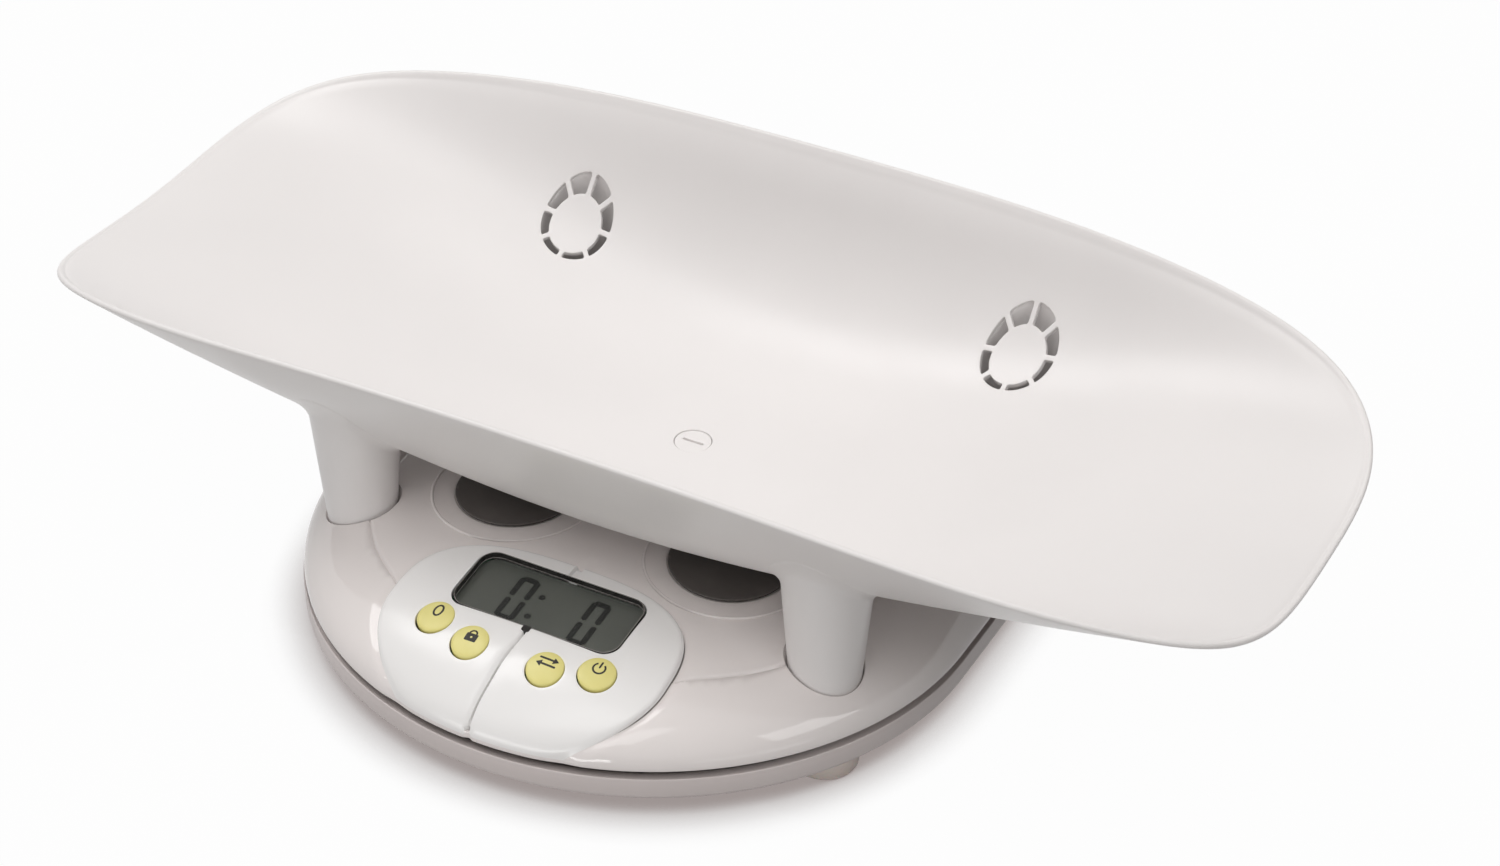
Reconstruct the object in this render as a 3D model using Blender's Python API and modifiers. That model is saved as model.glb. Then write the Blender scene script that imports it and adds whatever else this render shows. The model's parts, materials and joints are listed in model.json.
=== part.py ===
"""Digital baby weighing scale: a cradle tray on four legs over a round weighing platform.

Lengths are metres, +Z is up, the scale stands on Z = 0 and the long way of the tray is X.
The side with the display is at -Y. The scale is drawn with the middle of its tray at
X = 0 and Y = 0, and is then moved so that the origin is under the middle of the whole.
"""
import math

import bmesh
import bpy
from mathutils import Matrix, Vector

MM = 0.001

# Fits
GAP = 0.3 * MM
SINK = 1.2 * MM
REACH = 40.0 * MM

# Tray
TRAY_HALF_LENGTH = 292.4 * MM
TRAY_HALF_WIDTH = 131.0 * MM
TRAY_SQUARE_SHARE = 4.0
TRAY_FLOOR_HEIGHT = 56.3 * MM
TRAY_END_RISE = 80.4 * MM
TRAY_END_FLARE = -39.2 * MM
TRAY_FLOOR_RISE = 5.1 * MM
TRAY_SIDE_RISE = 57.3 * MM
TRAY_SIDE_STEEPEN = 22.4 * MM
TRAY_CORNER_START = 9.2 * MM
TRAY_CORNER_EASE = -101.7 * MM
TRAY_CORNER_TURN = 4.6 * MM
TRAY_CORNER_LIFT = 72.1 * MM
TRAY_WALL = 2.8 * MM
TRAY_EDGE_ROUND = 1.1 * MM
TRAY_RING_SHARES = (0.22, 0.42, 0.57, 0.69, 0.79, 0.87, 0.94, 1.0)

# Tray legs
LEG_X = 114.6 * MM
LEG_Y = 93.6 * MM
LEG_FOOT_HEIGHT = 33.0 * MM
LEG_FOOT_RADIUS = 15.1 * MM
LEG_TAPER_SHARE = 0.083
LEG_WALL = 1.7 * MM
LEG_ROOF = 3.4 * MM
VENT_COUNT = 8
VENT_INNER_RADIUS = 12.2 * MM
VENT_OUTER_RADIUS = 17.3 * MM
VENT_RIB = 2.3 * MM
VENT_DEPTH = 4.2 * MM

# Coin-slot screw that holds the tray
SCREW_HEAD_RADIUS = 8.3 * MM
SCREW_HEAD_THICKNESS = 2.6 * MM
SCREW_SLOT_WIDTH = 1.4 * MM
SCREW_SLOT_LENGTH = 10.5 * MM
SCREW_SHAFT_RADIUS = 3.0 * MM
SCREW_TIP_HEIGHT = 42.6 * MM
TRAY_BOSS_RADIUS = 11.0 * MM
TRAY_BOSS_HEIGHT = 47.2 * MM
INSERT_RADIUS = 4.6 * MM
INSERT_FOOT_HEIGHT = 42.2 * MM

# Outline that the platform cover and the lower housing share
BASE_CENTRE_Y = -40.5 * MM
BASE_HALF_WIDTH = 153.0 * MM
BASE_FRONT_DEPTH = 147.5 * MM
BASE_REAR_DEPTH = 205.0 * MM
BASE_FRONT_SQUARE_SHARE = 2.0
BASE_REAR_SQUARE_SHARE = 4.0

# Platform cover
COVER_EDGE_HEIGHT = 21.9 * MM
COVER_CROWN_HEIGHT = 51.8 * MM
COVER_WALL = 3.0 * MM
COVER_RING_SHARES = (0.35, 0.58, 0.74, 0.84, 0.91, 0.96, 0.988, 1.0)
SOCKET_WALL = 2.2 * MM
SOCKET_FLOOR = 2.5 * MM
CUP_FOOT_HEIGHT = 41.0 * MM
SEAM_WIDTH = 0.8 * MM
SEAM_DEPTH = 0.6 * MM
SEAM_OUTER_X = 106.0 * MM
SEAM_OUTER_Y = -102.0 * MM
SEAM_INNER_X = 66.0 * MM
SEAM_INNER_Y = -136.0 * MM

# Standing pads
PAD_X = 53.3 * MM
PAD_RADIUS = 27.0 * MM
PAD_HALF_STRAIGHT = 62.8 * MM
PAD_RISE = 0.7 * MM
PAD_SEAT = 0.9 * MM
PAD_RING_RADIUS = 37.3 * MM
PAD_RING_WIDTH = 1.3 * MM
PAD_RING_RISE = 0.6 * MM

# Control panel
PANEL_CENTRE_Y = -144.0 * MM
PANEL_HALF_WIDTH = 68.0 * MM
PANEL_REAR_DEPTH = 45.0 * MM
PANEL_FRONT_DEPTH = 52.0 * MM
PANEL_REAR_SQUARE_SHARE = 2.8
PANEL_FRONT_SQUARE_SHARE = 2.2
PANEL_RISE = 2.2 * MM
PANEL_SEAT = 1.0 * MM
PANEL_FOOT_HEIGHT = 24.6 * MM
GROOVE_WIDTH = 1.3 * MM
GROOVE_DEPTH = 1.1 * MM

# Display and board stack, measured down from the panel surface along its tilt
STACK_Y = -124.5 * MM
STACK_HEIGHT = 51.9 * MM
STACK_TILT = math.radians(8.0)
WINDOW_HALF_WIDTH = 40.4 * MM
WINDOW_HALF_DEPTH = 17.2 * MM
WINDOW_CORNER = 8.0 * MM
BEZEL_WALL = 1.2 * MM
BEZEL_TOP_DEPTH = 0.9 * MM
BEZEL_THICKNESS = 2.2 * MM
WINDOW_DEPTH = 3.4 * MM
WINDOW_THICKNESS = 1.2 * MM
MODULE_THICKNESS = 5.3 * MM
BOARD_DEPTH = 10.6 * MM
BOARD_THICKNESS = 1.6 * MM
BOARD_HALF_WIDTH = 48.5 * MM
BOARD_REAR_REACH = 21.0 * MM
BOARD_FRONT_REACH = 38.0 * MM
BOARD_CORNER = 11.0 * MM
BOARD_SCREW_RADIUS = 1.5 * MM
BOARD_SCREW_HEAD_RADIUS = 2.6 * MM
BOARD_SCREW_HEAD_THICKNESS = 1.6 * MM
BOARD_SCREW_LENGTH = 6.5 * MM
BOARD_SCREW_X = 44.4 * MM
BOARD_SCREW_REACH = 9.0 * MM

# Buttons and their switches, as x and y from the middle of the display
BUTTON_OUTER_X = 39.0 * MM
BUTTON_OUTER_REACH = -27.2 * MM
BUTTON_INNER_X = 18.1 * MM
BUTTON_INNER_REACH = -33.7 * MM
BUTTON_RADIUS = 8.1 * MM
BUTTON_RISE = 1.0 * MM
BUTTON_SEAT = 3.4 * MM
BUTTON_TRAVEL = 0.6 * MM
BUTTON_EDGE_ROUND = 0.5 * MM
STEM_RADIUS = 2.2 * MM
SWITCH_HALF_WIDTH = 3.1 * MM
SWITCH_HEIGHT = 3.0 * MM
PLUNGER_RADIUS = 1.4 * MM
PLUNGER_RISE = 0.9 * MM
PLUNGER_WELL = 2.0 * MM

# Weighing frame and load cell
FRAME_HALF_LENGTH = 102.0 * MM
FRAME_HALF_WIDTH = 70.0 * MM
FRAME_CORNER = 14.0 * MM
FRAME_FOOT_HEIGHT = 38.4 * MM
FRAME_THICKNESS = 2.0 * MM
FRAME_RAIL = 18.0 * MM
FRAME_SIDE_RAIL = 30.0 * MM
FRAME_WINDOW_LENGTH = 46.0 * MM
POST_INSET = 10.0 * MM
POST_RADIUS = 5.0 * MM
CELL_HALF_LENGTH = 65.0 * MM
CELL_HALF_WIDTH = 15.0 * MM
CELL_HEIGHT = 21.5 * MM
CELL_FOOT_HEIGHT = 14.2 * MM
CELL_EDGE_ROUND = 0.6 * MM
CELL_HOLE_RADIUS = 7.0 * MM
CELL_HOLE_SPREAD = 10.0 * MM
CELL_SCREW_INNER_X = 40.0 * MM
CELL_SCREW_OUTER_X = 55.0 * MM
CELL_SCREW_RADIUS = 2.5 * MM
CELL_SCREW_HEAD_RADIUS = 4.4 * MM
CELL_SCREW_HEAD_THICKNESS = 2.6 * MM
CELL_SCREW_GRIP = 12.0 * MM
SPACER_HALF_LENGTH = 15.0 * MM
FRAME_SCREW_RADIUS = 1.7 * MM
FRAME_SCREW_HEAD_RADIUS = 3.6 * MM
FRAME_SCREW_HEAD_THICKNESS = 2.0 * MM
FRAME_SCREW_GRIP = 6.0 * MM

# Lower housing
LOWER_FOOT_HEIGHT = 8.0 * MM
LOWER_TOP_HEIGHT = 20.3 * MM
LOWER_LEDGE_HEIGHT = 19.1 * MM
LOWER_LIP_INSET = 0.8 * MM
LOWER_SIDE_REACH = 0.5 * MM
LOWER_FOOT_INSET = 0.3 * MM
LOWER_EDGE_RISE = 0.8 * MM
LOWER_WALL = 2.5 * MM
LOWER_RING_SHARES = (0.4, 0.75)
CELL_BOSS_HALF_LENGTH = 17.0 * MM
CELL_BOSS_HALF_WIDTH = 17.0 * MM
FOOT_SIDE_SHARE = 0.788
FOOT_FRONT_SHARE = 0.432
FOOT_REAR_SHARE = 0.685
FOOT_X = BASE_HALF_WIDTH * FOOT_SIDE_SHARE
FOOT_FRONT_Y = BASE_CENTRE_Y - BASE_FRONT_DEPTH * FOOT_FRONT_SHARE
FOOT_REAR_Y = BASE_CENTRE_Y + BASE_REAR_DEPTH * FOOT_REAR_SHARE
FOOT_RADIUS = 14.4 * MM
FOOT_SEAT = 0.9 * MM
FOOT_EDGE_ROUND = 1.2 * MM

# Battery bay
BATTERY_Y = 96.0 * MM
BATTERY_HALF_LENGTH = 24.3 * MM
BATTERY_HALF_WIDTH = 13.2 * MM
BATTERY_THICKNESS = 17.5 * MM
BATTERY_EDGE_ROUND = 1.4 * MM
BAY_SLACK = 1.5 * MM
BAY_SNAP_ROOM = 7.0 * MM
BAY_WALL = 2.0 * MM
DOOR_THICKNESS = 2.2 * MM
DOOR_GRIP_DEPTH = 0.8 * MM
DOOR_GRIP_WIDTH = 1.2 * MM
DOOR_GRIP_LENGTH = 18.0 * MM
SNAP_THICKNESS = 2.6 * MM
SNAP_STUD_RADIUS = 2.9 * MM
SNAP_STUD_SPREAD = 6.35 * MM
SNAP_STUD_LENGTH = 2.2 * MM

# Leads
LEAD_RADIUS = 1.3 * MM
WELD_DISTANCE = 0.01 * MM

# How finely round shapes are drawn
TRAY_STEPS = 84
BASE_STEPS = 64
ROUND_STEPS = 20
SMALL_STEPS = 12
LEAD_STEPS = 6


def colour(hex_code):
    """Turn a hex colour as seen on screen into the linear values Blender uses."""
    parts = [int(hex_code[i:i + 2], 16) / 255.0 for i in (0, 2, 4)]
    linear = [p / 12.92 if p <= 0.04045 else ((p + 0.055) / 1.055) ** 2.4 for p in parts]
    return (*linear, 1.0)


def finish(name, hex_code, roughness, metallic=0.0):
    """One Principled material."""
    material = bpy.data.materials.new(name)
    material.use_nodes = True
    shader = material.node_tree.nodes["Principled BSDF"]
    shader.inputs["Base Color"].default_value = colour(hex_code)
    shader.inputs["Roughness"].default_value = roughness
    shader.inputs["Metallic"].default_value = metallic
    material.diffuse_color = colour(hex_code)
    return material


def clear_scene():
    for item in list(bpy.data.objects):
        bpy.data.objects.remove(item, do_unlink=True)
    bench = bpy.data.collections.new("cutters")
    bpy.context.scene.collection.children.link(bench)
    return bench


CUTTERS = clear_scene()


def make_object(name, mesh):
    item = bpy.data.objects.new(name, mesh)
    bpy.context.scene.collection.objects.link(item)
    return item


def from_bmesh(name, work):
    bmesh.ops.recalc_face_normals(work, faces=work.faces)
    mesh = bpy.data.meshes.new(name)
    work.to_mesh(mesh)
    work.free()
    return make_object(name, mesh)


def make_cutter(item):
    """Move an object to the collection of cutters and show it as wire only."""
    for holder in list(item.users_collection):
        holder.objects.unlink(item)
    CUTTERS.objects.link(item)
    item.hide_render = True
    item.display_type = "WIRE"
    return item


def evaluated(item):
    """Apply all modifiers of an object."""
    graph = bpy.context.evaluated_depsgraph_get()
    mesh = bpy.data.meshes.new_from_object(item.evaluated_get(graph))
    item.modifiers.clear()
    old = item.data
    item.data = mesh
    if old.users == 0:
        bpy.data.meshes.remove(old)
    return item


def boolean(item, tool, operation):
    """Join, cut or keep the common part with a tool, and drop the tool."""
    make_cutter(tool)
    step = item.modifiers.new("step", "BOOLEAN")
    step.operation = operation
    step.solver = "EXACT"
    step.object = tool
    evaluated(item)
    bpy.data.objects.remove(tool, do_unlink=True)
    return item


def cut(item, tool):
    return boolean(item, tool, "DIFFERENCE")


def join(item, tool):
    return boolean(item, tool, "UNION")


def common(item, tool):
    return boolean(item, tool, "INTERSECT")


def loft(name, rings):
    """A closed body through rings with the same number of points, ends closed by fans."""
    work = bmesh.new()
    rows = [[work.verts.new(point) for point in ring] for ring in rings]
    for low, high in zip(rows, rows[1:]):
        for i in range(len(low)):
            j = (i + 1) % len(low)
            work.faces.new((low[i], low[j], high[j], high[i]))
    for row in (rows[0], rows[-1]):
        middle = work.verts.new(sum((v.co for v in row), Vector()) / len(row))
        for i in range(len(row)):
            work.faces.new((row[i], row[(i + 1) % len(row)], middle))
    return from_bmesh(name, work)


def prism(name, outline, low, high):
    """A flat outline drawn up from one height to another."""
    work = bmesh.new()
    face = work.faces.new([work.verts.new((x, y, low)) for x, y in outline])
    grown = bmesh.ops.extrude_face_region(work, geom=[face])
    moved = [v for v in grown["geom"] if isinstance(v, bmesh.types.BMVert)]
    bmesh.ops.translate(work, verts=moved, vec=(0.0, 0.0, high - low))
    return from_bmesh(name, work)


def cone(name, low_radius, high_radius, low, high, steps, place=(0.0, 0.0)):
    """A round body about a vertical line at place."""
    work = bmesh.new()
    shift = Matrix.Translation((place[0], place[1], (low + high) / 2.0))
    bmesh.ops.create_cone(work, cap_ends=True, segments=steps, radius1=low_radius,
                          radius2=high_radius, depth=high - low, matrix=shift)
    return from_bmesh(name, work)


def drum(name, radius, low, high, steps=ROUND_STEPS, place=(0.0, 0.0)):
    return cone(name, radius, radius, low, high, steps, place)


def block(name, low, high):
    """A box between two corners."""
    work = bmesh.new()
    size = Vector(high) - Vector(low)
    middle = (Vector(high) + Vector(low)) / 2.0
    shift = Matrix.Translation(middle) @ Matrix.Diagonal((*size, 1.0))
    bmesh.ops.create_cube(work, size=1.0, matrix=shift)
    return from_bmesh(name, work)


def soften(item, width, segments=1, angle=math.radians(40.0)):
    """Round the edges sharper than an angle."""
    step = item.modifiers.new("soften", "BEVEL")
    step.width = width
    step.segments = segments
    step.limit_method = "ANGLE"
    step.angle_limit = angle
    return evaluated(item)


def mirrored(item, name, flip):
    """A mirror copy across x, y or both."""
    mesh = item.data.copy()
    mesh.transform(Matrix.Diagonal((flip[0], flip[1], 1.0, 1.0)))
    if flip[0] * flip[1] < 0:
        mesh.flip_normals()
    return make_object(name, mesh)


def smooth(item, angle=math.radians(35.0)):
    """Shade round faces smooth and keep real edges crisp."""
    item.data.shade_smooth()
    item.data.set_sharp_from_angle(angle=angle)
    return item


def paint(item, material):
    item.data.materials.clear()
    item.data.materials.append(material)
    return smooth(item)


def set_origin(item, place):
    """Move the origin of an object and keep its shape where it is."""
    place = Vector(place)
    item.data.transform(Matrix.Translation(-place))
    item.location = place
    return item


def angles(steps):
    return [2.0 * math.pi * i / steps for i in range(steps)]


def power_radius(angle, half_x, half_y, power):
    """Distance from the middle to a rounded box outline in one direction."""
    c = abs(math.cos(angle)) / half_x
    s = abs(math.sin(angle)) / half_y
    return (c ** power + s ** power) ** (-1.0 / power)


def round_box(half_x, half_y, corner, steps=4, place=(0.0, 0.0)):
    """Outline of a rectangle with round corners."""
    points = []
    for quarter in range(4):
        sx = 1.0 if quarter in (0, 3) else -1.0
        sy = 1.0 if quarter in (0, 1) else -1.0
        for i in range(steps + 1):
            turn = math.pi / 2.0 * (quarter + i / steps)
            points.append((place[0] + sx * (half_x - corner) + corner * math.cos(turn),
                           place[1] + sy * (half_y - corner) + corner * math.sin(turn)))
    return points


def stadium(radius, half_straight, place, steps=9):
    """Outline of two half circles joined by straight sides along Y."""
    points = []
    for side in (1.0, -1.0):
        for i in range(steps + 1):
            turn = math.pi * i / steps + (0.0 if side > 0 else math.pi)
            points.append((place[0] + radius * math.cos(turn),
                           place[1] + side * half_straight + radius * math.sin(turn)))
    return points


# Tray surface

def tray_direction(angle):
    """A direction that spreads points evenly along the long outline."""
    return math.atan2(TRAY_HALF_WIDTH * math.sin(angle), TRAY_HALF_LENGTH * math.cos(angle))


def tray_height(x, y):
    """Height of the upper face: flat floor, steep long sides, ends that rise and flare."""
    u = (x / TRAY_HALF_LENGTH) ** 2
    w = (y / TRAY_HALF_WIDTH) ** 2
    along = TRAY_END_RISE * u + TRAY_END_FLARE * u ** 2
    across = TRAY_FLOOR_RISE * w + TRAY_SIDE_RISE * w ** 2 + TRAY_SIDE_STEEPEN * w ** 3
    inner = TRAY_CORNER_START + TRAY_CORNER_EASE * w
    outer = TRAY_CORNER_TURN + TRAY_CORNER_LIFT * w
    corner = (inner + outer * u) * u * w
    return TRAY_FLOOR_HEIGHT + along + across + corner


def tray_depth_height(x, y, depth):
    """Height of the face that lies a given depth inside the tray wall."""
    near = GAP
    slope_x = (tray_height(x + near, y) - tray_height(x - near, y)) / (2.0 * near)
    slope_y = (tray_height(x, y + near) - tray_height(x, y - near)) / (2.0 * near)
    return tray_height(x, y) - depth * math.sqrt(1.0 + slope_x ** 2 + slope_y ** 2)


def leg_radius(height):
    return LEG_FOOT_RADIUS + LEG_TAPER_SHARE * (height - LEG_FOOT_HEIGHT)


def leg_plug(name, shrink, foot, depth, turned_share=0.0):
    """A tapered round body from a foot height up to a depth inside the tray wall."""
    rings = []
    foot_radius = leg_radius(foot) - shrink
    top_radius = leg_radius(tray_height(LEG_X, LEG_Y)) - shrink
    turn = [a + turned_share * 2.0 * math.pi / ROUND_STEPS for a in angles(ROUND_STEPS)]
    for share in (0.5, 1.0):
        rings.append([(LEG_X + share * foot_radius * math.cos(a),
                       LEG_Y + share * foot_radius * math.sin(a), foot) for a in turn])
    for share in (1.0, 0.7, 0.35):
        ring = []
        for a in turn:
            x = LEG_X + share * top_radius * math.cos(a)
            y = LEG_Y + share * top_radius * math.sin(a)
            ring.append((x, y, tray_depth_height(x, y, depth)))
        rings.append(ring)
    return loft(name, rings)


def vent_slot(name, index):
    """One slot of the ring over a leg, from above the floor to just under it."""
    half = math.pi / VENT_COUNT
    middle = 2.0 * half * index + half
    low = []
    high = []
    for radius, order in ((VENT_OUTER_RADIUS, (-1.0, -0.33, 0.33, 1.0)),
                          (VENT_INNER_RADIUS, (1.0, 0.0, -1.0))):
        spread = half - VENT_RIB / 2.0 / radius
        for share in order:
            turn = middle + share * spread
            x = LEG_X + radius * math.cos(turn)
            y = LEG_Y + radius * math.sin(turn)
            low.append((x, y, tray_depth_height(x, y, VENT_DEPTH)))
            high.append((x, y, tray_height(x, y) + VENT_DEPTH))
    return loft(name, [low, high])


def tray(material):
    """Shell with four hollow legs, slots over the legs and a boss for the screw."""
    work = bmesh.new()
    rows = []
    for share in TRAY_RING_SHARES:
        row = []
        for a in angles(TRAY_STEPS):
            turn = tray_direction(a)
            reach = share * power_radius(turn, TRAY_HALF_LENGTH, TRAY_HALF_WIDTH, TRAY_SQUARE_SHARE)
            x = reach * math.cos(turn)
            y = reach * math.sin(turn)
            row.append(work.verts.new((x, y, tray_height(x, y))))
        rows.append(row)
    for low, high in zip(rows, rows[1:]):
        for i in range(TRAY_STEPS):
            j = (i + 1) % TRAY_STEPS
            work.faces.new((low[i], high[i], high[j], low[j]))
    middle = work.verts.new((0.0, 0.0, TRAY_FLOOR_HEIGHT))
    for i in range(TRAY_STEPS):
        work.faces.new((middle, rows[0][i], rows[0][(i + 1) % TRAY_STEPS]))
    shell = from_bmesh("tray", work)
    if shell.data.polygons[0].normal.z < 0.0:
        shell.data.flip_normals()
    step = shell.modifiers.new("wall", "SOLIDIFY")
    step.thickness = TRAY_WALL
    step.offset = -1.0
    step.use_even_offset = True
    evaluated(shell)
    soften(shell, TRAY_EDGE_ROUND, 1, math.radians(60.0))
    boss = drum("boss", TRAY_BOSS_RADIUS, TRAY_BOSS_HEIGHT, TRAY_FLOOR_HEIGHT - TRAY_WALL / 2.0)
    join(shell, boss)
    quarter = leg_plug("leg", 0.0, LEG_FOOT_HEIGHT, TRAY_WALL / 2.0)
    for flip in ((1, 1), (-1, 1), (-1, -1), (1, -1)):
        join(shell, mirrored(quarter, "leg_copy", flip))
    bpy.data.objects.remove(quarter, do_unlink=True)
    hollow = leg_plug("hollow", LEG_WALL, LEG_FOOT_HEIGHT - SINK, LEG_ROOF, 0.5)
    for index in range(VENT_COUNT):
        join(hollow, vent_slot("slot", index))
    for flip in ((1, 1), (-1, 1), (-1, -1), (1, -1)):
        cut(shell, mirrored(hollow, "hollow_copy", flip))
    bpy.data.objects.remove(hollow, do_unlink=True)
    head = drum("head", SCREW_HEAD_RADIUS + GAP,
                TRAY_FLOOR_HEIGHT - SCREW_HEAD_THICKNESS - GAP, TRAY_FLOOR_HEIGHT + SINK)
    cut(shell, head)
    hole = drum("hole", SCREW_SHAFT_RADIUS + GAP, TRAY_BOSS_HEIGHT - SINK, TRAY_FLOOR_HEIGHT)
    cut(shell, hole)
    return paint(shell, material)


def tray_screw(material):
    """Coin-slot screw: flat head, slot and shaft."""
    top = TRAY_FLOOR_HEIGHT - GAP
    head = drum("tray_screw", SCREW_HEAD_RADIUS, top - SCREW_HEAD_THICKNESS + GAP, top)
    soften(head, BUTTON_EDGE_ROUND)
    shaft = drum("shaft", SCREW_SHAFT_RADIUS, SCREW_TIP_HEIGHT, top - SCREW_HEAD_THICKNESS / 2.0,
                 SMALL_STEPS)
    join(head, shaft)
    slot = block("slot", (-SCREW_SLOT_LENGTH / 2.0, -SCREW_SLOT_WIDTH / 2.0, top - SCREW_SLOT_WIDTH),
                 (SCREW_SLOT_LENGTH / 2.0, SCREW_SLOT_WIDTH / 2.0, top + SINK))
    cut(head, slot)
    return paint(set_origin(head, (0.0, 0.0, top)), material)


def screw_insert(material):
    """Threaded sleeve in the platform cover that the tray screw goes into."""
    sleeve = drum("screw_insert", INSERT_RADIUS, INSERT_FOOT_HEIGHT,
                  TRAY_BOSS_HEIGHT - 2.0 * GAP)
    cut(sleeve, drum("bore", SCREW_SHAFT_RADIUS + GAP, INSERT_FOOT_HEIGHT - SINK,
                     TRAY_BOSS_HEIGHT + SINK))
    return paint(sleeve, material)


# Platform surface

def base_point(angle, grow):
    """A point of the base outline, grown outwards."""
    rear = math.sin(angle) > 0.0
    depth = BASE_REAR_DEPTH if rear else BASE_FRONT_DEPTH
    power = BASE_REAR_SQUARE_SHARE if rear else BASE_FRONT_SQUARE_SHARE
    reach = power_radius(angle, BASE_HALF_WIDTH + grow, depth + grow, power)
    return reach * math.cos(angle), reach * math.sin(angle)


def base_ring(share, grow, height):
    ring = []
    for a in angles(BASE_STEPS):
        x, y = base_point(a, grow)
        ring.append((share * x, BASE_CENTRE_Y + share * y, height))
    return ring


def dome_ring(share, level):
    rise = COVER_CROWN_HEIGHT + level - COVER_EDGE_HEIGHT
    height = COVER_EDGE_HEIGHT + rise * math.sqrt(max(0.0, 1.0 - share ** 4))
    return base_ring(share, level, height)


def dome(name, level, foot=COVER_EDGE_HEIGHT):
    """The space under the platform surface, moved out or in by a level."""
    rings = [base_ring(0.5, level, foot), base_ring(1.0, level, foot)]
    if foot < COVER_EDGE_HEIGHT:
        rings.append(base_ring(1.0, level, COVER_EDGE_HEIGHT))
    rings += [dome_ring(share, level) for share in reversed(COVER_RING_SHARES[:-1])]
    return loft(name, rings)


def dome_height(x, y, level=0.0):
    """Height of the platform surface at a place."""
    rear = y > BASE_CENTRE_Y
    depth = (BASE_REAR_DEPTH if rear else BASE_FRONT_DEPTH) + level
    power = BASE_REAR_SQUARE_SHARE if rear else BASE_FRONT_SQUARE_SHARE
    share = ((abs(x) / (BASE_HALF_WIDTH + level)) ** power
             + (abs(y - BASE_CENTRE_Y) / depth) ** power) ** (1.0 / power)
    rise = COVER_CROWN_HEIGHT + level - COVER_EDGE_HEIGHT
    return COVER_EDGE_HEIGHT + rise * math.sqrt(max(0.0, 1.0 - share ** 4))


def slice_of_dome(name, outline, low_level, high_level, foot=COVER_EDGE_HEIGHT):
    """The part of the layer between two levels that lies inside an outline."""
    piece = prism(name, outline, foot, COVER_CROWN_HEIGHT + REACH)
    if high_level is not None:
        common(piece, dome("upper", high_level, COVER_EDGE_HEIGHT - SINK))
    cut(piece, dome("under", low_level, COVER_EDGE_HEIGHT - SINK * 2.0))
    return piece


def panel_outline(grow):
    points = []
    for a in angles(ROUND_STEPS * 2):
        rear = math.sin(a) > 0.0
        depth = PANEL_REAR_DEPTH if rear else PANEL_FRONT_DEPTH
        power = PANEL_REAR_SQUARE_SHARE if rear else PANEL_FRONT_SQUARE_SHARE
        reach = power_radius(a, PANEL_HALF_WIDTH + grow, depth + grow, power)
        points.append((reach * math.cos(a), PANEL_CENTRE_Y + reach * math.sin(a)))
    return points


def stack_matrix():
    """From the flat drawing of the display stack to its tilted place."""
    return (Matrix.Translation((0.0, STACK_Y, STACK_HEIGHT))
            @ Matrix.Rotation(STACK_TILT, 4, "X"))


def tilted(item):
    item.data.transform(stack_matrix())
    return item


def stack_place(x, y, z=0.0):
    return stack_matrix() @ Vector((x, y, z))


BUTTON_PLACES = {
    "zero": (-BUTTON_OUTER_X, BUTTON_OUTER_REACH),
    "hold": (-BUTTON_INNER_X, BUTTON_INNER_REACH),
    "unit": (BUTTON_INNER_X, BUTTON_INNER_REACH),
    "power": (BUTTON_OUTER_X, BUTTON_OUTER_REACH),
}


def seam_cutter(side):
    """Shallow line on the platform from a front leg socket to the panel."""
    along = Vector((side * (SEAM_OUTER_X - SEAM_INNER_X), SEAM_OUTER_Y - SEAM_INNER_Y))
    across = Vector((-along.y, along.x)).normalized() * SEAM_WIDTH / 2.0
    start = Vector((side * SEAM_INNER_X, SEAM_INNER_Y))
    end = Vector((side * SEAM_OUTER_X, SEAM_OUTER_Y))
    corners = [start - across, end - across, end + across, start + across]
    return slice_of_dome("seam", [tuple(c) for c in corners], -SEAM_DEPTH, None)


def post_place(sx, sy):
    """Where a post of the cover meets a corner of the weighing frame."""
    return sx * (FRAME_HALF_LENGTH - POST_INSET), sy * (FRAME_HALF_WIDTH - POST_INSET)


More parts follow.
